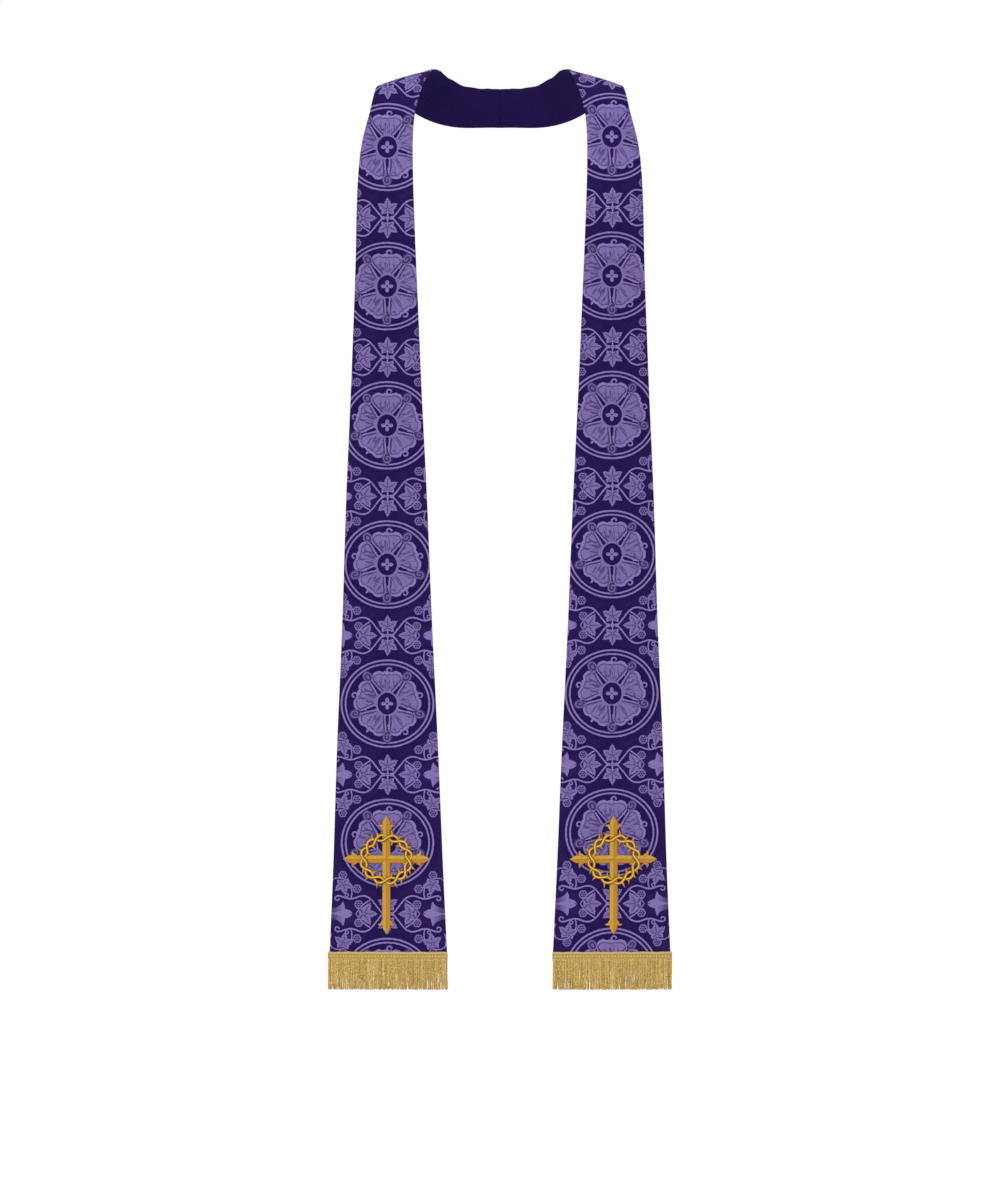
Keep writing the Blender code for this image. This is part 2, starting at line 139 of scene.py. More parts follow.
ChestRow = namedtuple("ChestRow", "name z inner_x outer_x")
CHEST_ROWS = (
    ChestRow("breast", -0.1040, 0.1107, 0.1782),
    ChestRow("below the breast", -0.1500, 0.1096, 0.1812),
    ChestRow("panel top", PANEL_TOP_Z, PANEL_TOP_INNER_X, PANEL_TOP_OUTER_X),
)

# Soft creases across the cloth: place down its length, share across it, run across as a share,
# breadth down the length, height and slant.
Crease = namedtuple("Crease", "length share run breadth height slant")
CREASES = (
    Crease(0.022, 0.10, 0.42, 0.0060, -0.0008, 0.010),
    Crease(0.048, 0.05, 0.50, 0.0075, -0.0013, 0.016),
    Crease(0.070, 0.15, 0.38, 0.0060, 0.0009, 0.022),
    Crease(0.088, 0.00, 0.55, 0.0080, -0.0016, 0.026),
    Crease(0.112, 0.12, 0.46, 0.0065, 0.0011, 0.030),
    Crease(0.131, 0.02, 0.40, 0.0070, -0.0010, 0.024),
    Crease(0.150, 0.85, 0.30, 0.0090, -0.0007, -0.020),
    Crease(0.185, 0.10, 0.34, 0.0090, -0.0006, 0.012),
    Crease(0.236, 0.90, 0.28, 0.0110, -0.0007, -0.014),
)

# Soft troughs and ridges down the cloth: place, half run, share across, breadth as a share, height.
Fall = namedtuple("Fall", "length run share breadth height drift")
FALLS = (
    Fall(0.250, 0.060, 0.30, 0.16, -0.0008, 0.6),
    Fall(0.330, 0.110, 0.66, 0.20, 0.0009, -0.5),
    Fall(0.450, 0.090, 0.36, 0.18, -0.0007, 0.4),
    Fall(0.560, 0.130, 0.62, 0.22, 0.0008, 0.3),
    Fall(0.690, 0.100, 0.30, 0.20, -0.0006, -0.3),
    Fall(0.830, 0.120, 0.68, 0.24, 0.0006, 0.2),
)
CREASES_END = 1.02

# How the brocade was laid on each half: the middle of its figure across the half, the height of
# one rose, and how many of the half's millimetres go to one of the chart's.
Laying = namedtuple("Laying", "middle_x rose_z stretch")
LAYINGS = {
    -1: Laying(-0.1425, -0.0887, 0.9987),
    1: Laying(0.1414, -0.0754, 0.9983),
}
REPEAT = 176.5
ROW_SHIFT = (0.6, -1.8)

# Outlines of the brocade's figures, in degrees and millimetres
PETAL = (
    (0, 39.6), (4, 40.9), (8, 40.4), (13, 42.4), (20, 42.6), (26, 41.2), (30, 38.6),
    (33, 35.0), (35, 31.0), (36, 28.0),
)
LEAF = (
    (0, 14.8), (5, 12.7), (8, 12.9), (13, 10.4), (17, 11.0), (24, 8.8), (33, 7.3), (39, 9.6),
    (43, 9.5), (50, 12.2), (54, 12.0), (60, 14.4), (65, 12.0), (69, 12.1), (77, 9.6), (82, 10.1),
    (90, 7.6), (97, 7.0), (106, 8.0), (118, 8.3), (127, 9.2), (138, 6.6), (152, 4.6), (166, 3.6),
    (180, 4.8),
)
VINE = (
    (5.5, 0.2), (7, 1.2), (10, 4.4), (14, 9.4), (18, 14.6), (22, 18.9), (26, 21.5), (31, 22.7),
    (36, 22.0), (42, 19.9), (47, 19.0), (53, 20.0), (59, 22.0), (66, 22.8), (75, 20.5),
)
TENDRIL = ((22.5, 17.2), (25, 15.8), (28, 13.8), (31, 11.5), (34, 8.7), (37, 5.0), (40.4, 0.0))
LILY = (
    (44.9, 0.6), (46.0, 2.4), (47.8, 3.9), (51.3, 5.3), (54.4, 5.9), (54.9, 9.6), (55.6, 12.6),
    (56.6, 15.4), (57.6, 14.6), (58.8, 12.6), (61.2, 10.2), (64.1, 8.5), (68.2, 7.0), (76, 5.8),
)
# The middles of the bunches of grapes in the row of vines
BUNCHES = ((36.9, 11.6), (39.0, 31.6), (57.2, 48.8))

# Half of an arm's end: distance back from its tip, and half its width
ARM_TIP = (
    (0.0, 0.05), (1.2, 0.95), (2.6, 1.75), (4.4, 2.90), (6.4, 4.10), (8.2, 4.95), (9.6, 5.15),
    (11.2, 4.90), (13.2, 4.55), (15.6, 4.50), (18.4, 4.80), (21.5, 5.20),
)
# The leaf that curls out beside it: distance from the arm's middle, back from its tip, half width
ARM_CURL = (
    (1.6, 19.2, 0.80), (2.4, 17.6, 2.00), (3.4, 16.0, 2.80), (4.4, 14.7, 2.75), (5.4, 13.6, 2.35),
    (6.5, 12.8, 1.90), (7.6, 12.4, 1.45), (9.2, 12.4, 0.95), (10.9, 13.3, 0.25),
)
ARMS = ((0, 55.2), (90, 55.4), (180, 95.4), (270, 55.4))

# Thorns: place round the crown in degrees, 1 outwards or -1 inwards, lean along it, length
Thorn = namedtuple("Thorn", "turn way lean length")
THORNS = (
    Thorn(-18, 1, -0.35, 6.7), Thorn(-27, 1, -0.80, 5.8), Thorn(-40, 1, -0.25, 5.9),
    Thorn(-55, 1, -0.50, 6.3), Thorn(-71, 1, 0.15, 8.2), Thorn(-111, 1, 0.35, 7.4),
    Thorn(-135, 1, 0.05, 6.0), Thorn(-156, 1, 1.00, 7.7), Thorn(161, 1, -0.30, 5.4),
    Thorn(142, 1, 0.85, 6.7), Thorn(124, 1, -0.65, 7.4), Thorn(107, 1, 0.45, 5.6),
    Thorn(77, 1, 0.25, 7.4), Thorn(61, 1, -0.45, 5.8), Thorn(45, 1, 0.40, 6.5),
    Thorn(31, 1, -0.60, 5.8), Thorn(-15, -1, -0.30, 4.6), Thorn(-47, -1, 0.50, 6.4),
    Thorn(-75, -1, 0.25, 6.3), Thorn(-109, -1, -0.40, 6.1), Thorn(-133, -1, 0.45, 6.4),
    Thorn(160, -1, 0.25, 5.0), Thorn(134, -1, 0.10, 6.7), Thorn(72, -1, -0.10, 5.5),
    Thorn(46, -1, 0.95, 6.7), Thorn(34, -1, -0.20, 6.0),
)


def length_setting(name, description, default):
    """A setting in metres."""
    return FloatProperty(
        name=name, description=description, default=default, unit="LENGTH", precision=5)


def colour_setting(name, description, default):
    """A setting that is a colour."""
    return FloatVectorProperty(
        name=name, description=description, default=default, subtype="COLOR", size=3)


class ClothSettings(bpy.types.PropertyGroup):
    """Sizes and colours of the brocade halves."""

    columns: IntProperty(
        name="Columns", description="Points across the face of a half", default=31, min=8)
    row_step: length_setting("Row step", "Distance between rows of points down the cloth", 0.0050)
    crease_share: FloatProperty(
        name="Creases", description="How deep the soft creases are, 1 as drawn",
        default=1.0, subtype="FACTOR",
    )
    ground_colour: colour_setting("Ground", "The dark satin ground", (0.0082, 0.0022, 0.0490))
    open_colour: colour_setting(
        "Open ground", "The ground well away from the figure", (0.0240, 0.0120, 0.0920))
    figure_colour: colour_setting("Figure", "The light woven figure", (0.214, 0.155, 0.392))
    thread_pitch: length_setting("Thread pitch", "Distance between the brocade's threads", 0.00042)


class EmblemSettings(bpy.types.PropertyGroup):
    """Sizes and colours of the embroidered crosses."""

    edge_height: length_setting("Edge height", "Height of the stitching at an arm's edge", 0.00075)
    ridge_height: length_setting(
        "Ridge height", "Height of the stitching along an arm's middle", 0.00190)
    rod_radius: length_setting("Rod radius", "Half the width of a twig of the crown", 0.00205)
    # One gold in painted light and shade: light on the side towards the lamp, dark on the far side.
    light_gold: colour_setting(
        "Light gold", "Thread on the lit side of each arm", (0.560, 0.335, 0.040))
    dark_gold: colour_setting(
        "Dark gold", "Thread on the far side of each arm", (0.500, 0.222, 0.020))
    # Painted shade: at the edges, where rows of stitches meet and down the sides of the crown's twigs.
    shadow_gold: colour_setting(
        "Shadow gold", "Thread in the creases and at the edges", (0.225, 0.092, 0.012))


class FringeSettings(bpy.types.PropertyGroup):
    """Sizes and colours of the gold fringes."""

    strands: IntProperty(
        name="Strands", description="Strands in one layer of a fringe", default=196, min=20)
    layers: IntProperty(
        name="Layers", description="Layers of strands, one behind the other", default=2, min=1)
    strand_radius: length_setting(
        "Strand radius", "Half the width of one twisted strand", 0.00038)
    light_gold: colour_setting("Light gold", "The palest strands", (0.900, 0.672, 0.235))
    dark_gold: colour_setting("Dark gold", "The deepest strands", (0.405, 0.250, 0.052))
    tip_gold: colour_setting("Tip gold", "The frayed ends of the strands", (0.560, 0.310, 0.075))


class StageSettings(bpy.types.PropertyGroup):
    """The camera, the lights and the floor."""

    view_height: length_setting("View height", "Height of the picture's frame at the stole", 1.524)
    view_centre_z: length_setting("View centre", "Height of the middle of the picture", -0.664)
    camera_distance: length_setting(
        "Camera distance", "From the camera to the hanging fronts", 32.0)
    floor_z: length_setting("Floor height", "Height of the floor", -1.400)
    surround: FloatProperty(
        name="Surround", description="Strength of the light from all round", default=0.72)
    lamp_power: FloatProperty(
        name="Lamp power", description="Power of the main soft light", default=90.0,
        unit="POWER",
    )


# The form of the cloth


def ease(value):
    """A smooth step from 0 to 1."""
    value = np.clip(value, 0.0, 1.0)
    return value * value * (3 - 2 * value)


def fall_profile(fall_angle):
    """Distances out from the ridge and down from it, for each distance along the body."""
    along = np.arange(0.0, PROFILE_LENGTH, PROFILE_STEP)
    angle = fall_angle(along + PROFILE_STEP / 2)
    out = np.concatenate(([0.0], np.cumsum(np.cos(angle)) * PROFILE_STEP))[:-1]
    down = np.concatenate(([0.0], np.cumsum(np.sin(angle)) * PROFILE_STEP))[:-1]
    return along, out, down


def front_angle(along):
    """How steeply the body falls in front of the ridge."""
    shoulder = FRONT_FALL * (1 - np.exp(-along / FRONT_ROUND))
    chest = (math.pi / 2 - FRONT_FALL) * ease((along - CHEST_START) / (CHEST_END - CHEST_START))
    return shoulder + chest


def back_angle(along):
    """How steeply the body falls behind the ridge."""
    return BACK_FALL * (1 - np.exp(-((along / BACK_ROUND) ** 2)))


FRONT_PROFILE = fall_profile(front_angle)
BACK_PROFILE = fall_profile(back_angle)


def ridge_z(x):
    """Height of the shoulder ridge at a distance x from the centre plane."""
    return RIDGE_RISE - RIDGE_SLOPE * (math.hypot(x, RIDGE_ROUND) - RIDGE_ROUND)


def along_at(x, z):
    """Distance along the front of the body from the ridge down to the height z."""
    steps, _, down = FRONT_PROFILE
    return float(np.interp(ridge_z(x) - z, down, steps))


def body_point(x, along):
    """A point of the general figure at x, a distance along it from the ridge."""
    if along >= 0:
        steps, out, down = FRONT_PROFILE
        reach = float(np.interp(along, steps, out))
        drop = float(np.interp(along, steps, down))
        hang = min(max((along - CHEST_END) / (PROFILE_LENGTH - CHEST_END), 0.0), 1.0)
        radius = CHEST_BREADTH_RADIUS + (HEM_BREADTH_RADIUS - CHEST_BREADTH_RADIUS) * hang
        breadth = x * x / (2 * radius) * (1 - math.exp(-along / BREADTH_EASE))
        return Vector((x, RIDGE_Y - reach + breadth, ridge_z(x) - drop))
    steps, out, down = BACK_PROFILE
    reach = float(np.interp(-along, steps, out))
    drop = float(np.interp(-along, steps, down))
    breadth = x * x / (2 * BACK_BREADTH_RADIUS) * (1 - math.exp(along / BREADTH_EASE))
    return Vector((x, RIDGE_Y + reach - breadth, ridge_z(x) - drop))


def smooth_curve(stations, values):
    """A function through the values that bends as a springy batten does."""
    stations = np.array(stations, float)
    values = np.array(values, float)
    gaps = np.diff(stations)
    slopes = np.diff(values) / gaps
    count = len(stations)
    matrix = np.eye(count)
    target = np.zeros(count)
    for i in range(1, count - 1):
        matrix[i, i - 1] = gaps[i - 1]
        matrix[i, i] = 2 * (gaps[i - 1] + gaps[i])
        matrix[i, i + 1] = gaps[i]
        target[i] = 6 * (slopes[i] - slopes[i - 1])
    bend = np.linalg.solve(matrix, target)

    def curve(at):
        i = int(np.clip(np.searchsorted(stations, at) - 1, 0, count - 2))
        before = stations[i + 1] - at
        after = at - stations[i]
        gap = gaps[i]
        cubic = (bend[i] * before ** 3 + bend[i + 1] * after ** 3) / (6 * gap)
        start = (values[i] / gap - bend[i] * gap / 6) * before
        end = (values[i + 1] / gap - bend[i + 1] * gap / 6) * after
        return float(cubic + start + end)

    return curve


def edge_rows():
    """Every guide row as (inner_x, inner_along, outer_x, outer_along), from the nape to the hem."""
    rows = [row[1:] for row in NECK_ROWS]
    level_rows = [row[1:] for row in CHEST_ROWS]
    for i in range(1, PANEL_GUIDE_ROWS + 1):
        share = i / PANEL_GUIDE_ROWS
        level_rows.append((
            PANEL_TOP_Z + (HEM_Z - PANEL_TOP_Z) * share,
            PANEL_TOP_INNER_X + (HEM_INNER_X - PANEL_TOP_INNER_X) * share,
            PANEL_TOP_OUTER_X + (HEM_OUTER_X - PANEL_TOP_OUTER_X) * share,
        ))
    for z, inner_x, outer_x in level_rows:
        rows.append((inner_x, along_at(inner_x, z), outer_x, along_at(outer_x, z)))
    return rows


def cloth_length_stations(rows):
    """Distance down the middle of the cloth from the nape seam to each row."""
    middles = [((r[0] + r[2]) / 2, (r[1] + r[3]) / 2) for r in rows]
    stations = [0.0]
    for first, second in zip(middles, middles[1:]):
        stations.append(stations[-1] + math.dist(first, second))
    return stations


ROWS = edge_rows()
STATIONS = cloth_length_stations(ROWS)
CLOTH_LENGTH = STATIONS[-1]
RIDGE_LENGTH = STATIONS[RIDGE_ROW]
EDGE_CURVES = [smooth_curve(STATIONS, [row[i] for row in ROWS]) for i in range(4)]


def edge_ripple(z, share):
    """How far the edges of a hanging panel swing in and out."""
    hanging = float(ease((PANEL_TOP_Z - z) / 0.25))
    to_edge = (2 * share - 1) ** 3
    return EDGE_RIPPLE_DEPTH * hanging * to_edge * math.sin(2 * math.pi * z / EDGE_RIPPLE_PITCH)


def crease_height(length, share):
    """How far the soft creases lift the cloth, or sink it."""
    height = 0.0
    for crease in CREASES:
        aside = (share - crease.share) / crease.run
        off = (length - crease.length - crease.slant * (share - crease.share)) / crease.breadth
        height += crease.height * math.exp(-aside * aside - off * off)
    for fall in FALLS:
        off = (length - fall.length) / fall.run
        aside = (share - fall.share - fall.drift * (length - fall.length)) / fall.breadth
        height += fall.height * math.exp(-aside * aside - off * off)
    return height * float(ease((CREASES_END - length) / 0.10))


def cloth_place(length, share):
    """The x from the centre plane and the distance along the body of a place on the cloth."""
    inner_x, inner_along, outer_x, outer_along = (curve(length) for curve in EDGE_CURVES)
    return inner_x + (outer_x - inner_x) * share, inner_along + (outer_along - inner_along) * share


def inner_face_point(length, share, crease_share):
    """A point on the face towards the wearer, from the nape seam down and the inner edge out."""
    x, along = cloth_place(length, share)
    point = body_point(max(x, SEAM_GAP / 2), along)
    across = body_point(x + SLOPE_STEP, along) - body_point(x - SLOPE_STEP, along)
    down = body_point(x, along + SLOPE_STEP) - body_point(x, along - SLOPE_STEP)
    outward = across.cross(down).normalized()
    if outward.y > 0 and along > 0:
        outward.negate()
    crown = CLOTH_CROWN * (1 - (2 * share - 1) ** 2) * float(ease(length / NECK_END))
    crease = crease_height(length, share) * crease_share
    return point + outward * (crown + edge_ripple(point.z, share) + crease)


def level_share(x, z):
    """Where x lies between the panel's edges at the height z."""
    share = (PANEL_TOP_Z - z) / (PANEL_TOP_Z - HEM_Z)
    inner_x = PANEL_TOP_INNER_X + (HEM_INNER_X - PANEL_TOP_INNER_X) * share
    outer_x = PANEL_TOP_OUTER_X + (HEM_OUTER_X - PANEL_TOP_OUTER_X) * share
    return (x - inner_x) / (outer_x - inner_x)


def panel_point(side, x, z, lift):
    """A point lifted off the front face of a hanging panel, x from the centre plane."""
    share = level_share(x, z)
    point = body_point(x, along_at(x, z))
    crown = CLOTH_CROWN * (1 - (2 * share - 1) ** 2)
    before, after = (body_point(a, along_at(a, z)) for a in (x - SLOPE_STEP, x + SLOPE_STEP))
    slope = (after.y - before.y) / (after.x - before.x)
    outward = Vector((slope, -1.0, 0.0)).normalized()
    point += outward * (crown + edge_ripple(z, share) + CLOTH_THICKNESS + lift)
    return Vector((side * point.x, point.y, point.z))


def on_emblem(side, x, y, height):
    """A point of the emblem, from its middle in millimetres, laid on the front of its panel."""
    lift = SEAM_GAP + height / MM
    return panel_point(side, CROSS_X + side * x / MM, CROSS_CENTRE_Z + y / MM, lift)


# Meshes


def linked_object(name, content):
    """An object at the origin, linked to the scene."""
    made = bpy.data.objects.new(name, content)
    bpy.context.scene.collection.objects.link(made)
    return made


def new_piece(name, mesh, finish):
    """An object for a finished mesh."""
    mesh.materials.clear()
    mesh.materials.append(finish)
    mesh.shade_smooth()
    return linked_object(name, mesh)


def outward_mesh(name, vertices, faces):
    """A mesh whose faces are turned to point out."""
    mesh = bpy.data.meshes.new(name)
    mesh.from_pydata([tuple(v) for v in vertices], [], faces)
    turned = bmesh.new()
    turned.from_mesh(mesh)
    bmesh.ops.recalc_face_normals(turned, faces=turned.faces)
    turned.to_mesh(mesh)
    turned.free()
    return mesh


def give_attribute(mesh, name, kind, values):
    """Stores a number or a vector at every point of a mesh."""
    layer = mesh.attributes.new(name, kind, "POINT")
    field = "value" if kind == "FLOAT" else "vector"
    layer.data.foreach_set(field, np.array(values, np.float32).ravel())


def points_mesh(name, points, **carried_values):
    """A mesh of loose points that carry numbers or vectors."""
    mesh = bpy.data.meshes.new(name)
    mesh.from_pydata([tuple(point) for point in points], [], [])
    for label, values in carried_values.items():
        give_attribute(mesh, label, "FLOAT" if np.ndim(values) == 1 else "FLOAT_VECTOR", values)
    return mesh


def give_chart(mesh, places):
    """A UV map in metres of the brocade's chart, from a place for every point."""
    layer = mesh.uv_layers.new(name="chart")
    corners = np.empty(len(mesh.loops), np.int32)
    mesh.loops.foreach_get("vertex_index", corners)
    layer.data.foreach_set("uv", np.array(places, np.float32)[corners].ravel())


def ring_faces(count, size, first=0):
    """Faces that join rings of points, each the same size, one after another."""
    faces = []
    for r in range(count - 1):
        for i in range(size):
            j = (i + 1) % size
            a = first + r * size
            faces.append((a + i, a + j, a + size + j, a + size + i))
    return faces


def cloth_rows(row_step):
    """Lengths down the cloth and, at its two ends, how much of its thickness is left."""
    radius = CLOTH_THICKNESS / 2
    ends = [(0.0, 0.35), (0.15 * radius, 0.60), (0.5 * radius, 0.87)]
    steps = int(round((CLOTH_LENGTH - 2 * radius) / row_step))
    middle = [(length, 1.0) for length in np.linspace(radius, CLOTH_LENGTH - radius, steps + 1)]
    return ends + middle + [(CLOTH_LENGTH - length, left) for length, left in reversed(ends)]


def top_fill():
    """For each distance below the ridge, how far the chart runs ahead of the height there."""
    steps, _, _ = FRONT_PROFILE
    slope = np.sin(front_angle(steps))
    extra = (1 - slope) * (1 - ease(steps / 0.050)) * PROFILE_STEP
    return np.cumsum(extra[::-1])[::-1]


TOP_FILL = top_fill()


def chart_place(side, length, share, point):
    """Where a place on the cloth lies on the brocade's chart."""
    laying = LAYINGS[side]
    x, along = cloth_place(length, share)
    if along >= 0:
        fill = float(np.interp(along, FRONT_PROFILE[0], TOP_FILL))
        return side * x - laying.middle_x, (point.z + fill - laying.rose_z) * laying.stretch
    ridge_x, _ = cloth_place(RIDGE_LENGTH, share)
    ridge_middle, _ = cloth_place(RIDGE_LENGTH, 0.5)
    inner = Vector(cloth_place(length, 0.0))
    outer = Vector(cloth_place(length, 1.0))
    width = (outer - inner).length
    across = side * (ridge_middle + (share - 0.5) * width) - laying.middle_x
    up = ridge_z(ridge_x) + float(TOP_FILL[0]) + RIDGE_LENGTH - length
    return across, (up - laying.rose_z) * laying.stretch


def cloth_half_mesh(name, side, settings):
    """A closed shell for one half, its edges turned over and rounded."""
    half = CLOTH_THICKNESS / 2
    columns = settings.columns
    rows = cloth_rows(settings.row_step)
    grid = []
    shares = []
    for length, _ in rows:
        width = (Vector(cloth_place(length, 1.0)) - Vector(cloth_place(length, 0.0))).length
        inset = half / width
        row_shares = np.linspace(inset, 1 - inset, columns)
        shares.append(row_shares)
        grid.append([inner_face_point(length, s, settings.crease_share) for s in row_shares])
    array = np.array([[tuple(p) for p in row] for row in grid])
    normals = np.cross(np.gradient(array, axis=1), np.gradient(array, axis=0))
    normals /= np.linalg.norm(normals, axis=2, keepdims=True)
    if normals[-1][0][1] > 0:
        normals = -normals
    vertices = []
    places = []
    figured = []
    for r, (length, left) in enumerate(rows):
        middles = [grid[r][c] + Vector(normals[r][c]) * half for c in range(columns)]
        loop = [(c, 90, 1.0) for c in range(columns)]
        loop += [(columns - 1, 45, 1.0), (columns - 1, 0, 1.0), (columns - 1, -45, 0.0)]
        loop += [(c, -90, 0.0) for c in range(columns - 1, -1, -1)]
        loop += [(0, -45, 0.0), (0, 0, 1.0), (0, 45, 1.0)]
        for c, degrees, face in loop:
            beside = middles[c] - middles[c - 1 if c else 1]
            turn = math.radians(degrees)
            thick = Vector(normals[r][c]) * math.sin(turn)
            point = middles[c] + (thick + beside.normalized() * math.cos(turn)) * half * left
            places.append(chart_place(side, length, shares[r][c], grid[r][c]))
            x = -SEAM_LAP if r == 0 else max(point.x, -SEAM_LAP)
            vertices.append(Vector((side * x, point.y, point.z)))
            figured.append(face)
    size = 2 * columns + 6
    faces = ring_faces(len(rows), size)
    for start in (0, (len(rows) - 1) * size):
        front = [start + c for c in range(columns)]
        back = [start + 2 * columns + 2 - c for c in range(columns)]
        for a, b, c, d in zip(front, front[1:], back[1:], back):
            faces.append((a, b, c, d))
        faces.append((front[-1], *(start + columns + i for i in range(3)), back[-1]))
        faces.append((back[0], *(start + 2 * columns + 3 + i for i in range(3)), front[0]))
    mesh = outward_mesh(name, vertices, faces)
    give_chart(mesh, places)
    give_attribute(mesh, "figured", "FLOAT", figured)
    return mesh


class Stitching:
    """Padded satin stitch gathered into one mesh, in millimetres about the emblem's middle.

    Every point keeps its distance along its row of stitches, its share across it from -1 to 1,
    and its tone from 0, dark, to 1, light. On the bars and curls the tone is painted light and shade,
    light on the side towards the lamp and dark on the far side.
    """

    def __init__(self, side):
        self.side = side
        self.vertices = []
        self.faces = []
        self.stitches = []

    def loft(self, path, widths, profile, tones, closed=False):
        """A closed padded band along a path of (x, y, lift) points."""
        first = len(self.vertices)
        size = len(profile)
        count = len(path)
        run = 0.0
        for i, (x, y, lift) in enumerate(path):
            before = path[i - 1] if i or closed else path[0]
            after = path[(i + 1) % count] if i < count - 1 or closed else path[-1]
            ahead = Vector((after[0] - before[0], after[1] - before[1])).normalized()
            if i:
                run += math.dist((x, y), path[i - 1][:2])
            for share, height in profile:
                place = Vector((x, y)) + Vector((ahead.y, -ahead.x)) * share * widths[i]
                top = height * min(1.0, 0.25 + 0.75 * widths[i] / max(widths))
                self.vertices.append(on_emblem(self.side, place.x, place.y, max(lift, 0) + top))
                tone = tones[0] if share < 0 else tones[1]
                self.stitches.append((run / MM, share, tone))
        self.faces += ring_faces(count, size, first)
        if closed:
            last = first + (count - 1) * size
            for i in range(size):
                j = (i + 1) % size
                self.faces.append((last + i, last + j, first + j, first + i))
        else:
            self.faces.append(tuple(range(first, first + size)))
            self.faces.append(tuple(range(first + (count - 1) * size, first + count * size)))

    def mesh(self, name):
        """The gathered stitching as a mesh."""
        made = outward_mesh(name, self.vertices, self.faces)
        give_attribute(made, "stitch", "FLOAT_VECTOR", self.stitches)
        return made


def roof_profile(edge, ridge):
    """A section across two rows of satin stitch that meet along a ridge."""
    shares = (-1.0, -0.90, -0.62, -0.32, -0.03, 0.03, 0.32, 0.62, 0.90, 1.0)
    section = [(-1.0, 0.0)]
    for share in shares:
        away = abs(share)
        bulge = 0.22 * math.sin(math.pi * away)
        height = edge + (ridge - edge) * (1 - away + bulge)
        section.append((share, height if away < 1 else edge * 0.6))
    section.append((1.0, 0.0))
    return section


def round_profile(radius, steps=9):
    """A section across a padded round cord that lies on the cloth."""
    section = []
    for i in range(steps):
        turn = math.pi * i / (steps - 1)
        section.append((-math.cos(turn), 0.15 + radius * 0.95 * math.sin(turn)))
    return [(-0.98, 0.0), *section, (0.98, 0.0)]


def turned(x, y, degrees):
    """A place turned anticlockwise about the emblem's middle."""
    turn = math.radians(degrees)
    return x * math.cos(turn) - y * math.sin(turn), x * math.sin(turn) + y * math.cos(turn)


def arm_stations(length):
    """Distances from the middle and half widths from an arm's crossing to its tip."""
    backs = [(length - back, half) for back, half in reversed(ARM_TIP)]
    plain = np.arange(0.0, backs[0][0], 2.6)
    return [(float(at), ARM_TIP[-1][1]) for at in plain] + backs


def stitch_bars(work, profile):
    """The two bars, each one band from tip to tip, light on the side that faces the lamp."""
    for degrees, far in ((0, 180), (270, 90)):
        lengths = dict(ARMS)
        back = [(-at, half) for at, half in reversed(arm_stations(lengths[far])[1:])]
        stations = back + arm_stations(lengths[degrees])
        path = [(*turned(0, at, degrees), 0.0) for at, _ in stations]
        work.loft(path, [half for _, half in stations], profile, (1.0, 0.0))


def stitch_curls(work, profile):
    """The pairs of small leaves that curl out beside each arm's tip."""
    for degrees, length in ARMS:
        for hand in (-1, 1):
            path = []
            for out, back, _ in ARM_CURL:
                path.append((*turned(hand * out, length - back, degrees), 0.35))
            # Painted light: a curl towards the lamp, left or above, is light, the other painted shade.
            tip_x, tip_y = turned(hand * 10, length - 12, degrees)
            lit = tip_x < 0 if degrees in (0, 180) else tip_y > 0
            tone = 0.86 if lit else 0.12
            work.loft(path, [half for _, _, half in ARM_CURL], profile, (tone, tone))


CROWN_BREADTH = 28.9
CROWN_HEIGHT = 27.6
CROWN_WEAVE = 3.6
CROWN_WAVES = 6
CROWN_PHASE = 0.35
CROWN_STEPS = 240


def near_bar(degrees):
    """How fully a place round the crown lies over one of the cross's bars."""
    off = abs((degrees + 45) % 90 - 45)
    return float(ease((22.0 - off) / 9.0))


def crown_place(turn, twig):
    """Where a twig of the crown runs, in millimetres, and how far it stands off the cloth."""
    wave = CROWN_WAVES * turn + CROWN_PHASE + math.pi * twig
    weave = CROWN_WEAVE * math.sin(wave)
    x = (CROWN_BREADTH + weave) * math.cos(turn)
    y = (CROWN_HEIGHT + weave) * math.sin(turn)
    over = -math.cos(wave)
    bar = near_bar(math.degrees(turn))
    crossing = 0.75 + 0.85 * over
    at_bar = 1.75 if over > 0 else -0.75
    return x, y, crossing + bar * at_bar * min(1.0, abs(over) * 1.6)


def stitch_crown(work, radius):
    """The two twigs that twist round each other."""
    profile = round_profile(radius)
    for twig in (0, 1):
        turns = [2 * math.pi * i / CROWN_STEPS for i in range(CROWN_STEPS)]
        path = [crown_place(turn, twig) for turn in turns]
        work.loft(path, [radius] * CROWN_STEPS, profile, (0.30, 0.30), closed=True)


def thorn_points(name, side):
    """A point for each thorn's root, with the way it points and its length."""
    roots = []
    aims = []
    sizes = []
    for thorn in THORNS:
        turn = math.radians(thorn.turn)
        places = [crown_place(turn, twig) for twig in (0, 1)]
        places.sort(key=lambda place: math.hypot(place[0], place[1]) * thorn.way)
        x, y, lift = places[-1]
        radial = Vector((math.cos(turn), math.sin(turn))) * thorn.way
        along = Vector((-math.sin(turn), math.cos(turn)))
        aim = (radial + along * thorn.lean).normalized()
        root = Vector((x, y)) + radial * 0.7
        start = on_emblem(side, root.x, root.y, max(lift, 0.2) + 0.55)
        tip = root + aim * thorn.length
        end = on_emblem(side, tip.x, tip.y, max(lift, 0.2) + 0.25)
        roots.append(start)
        aims.append(tuple((end - start).normalized()))
        sizes.append(thorn.length / MM)
    return points_mesh(name, roots, aim=aims, reach=sizes)


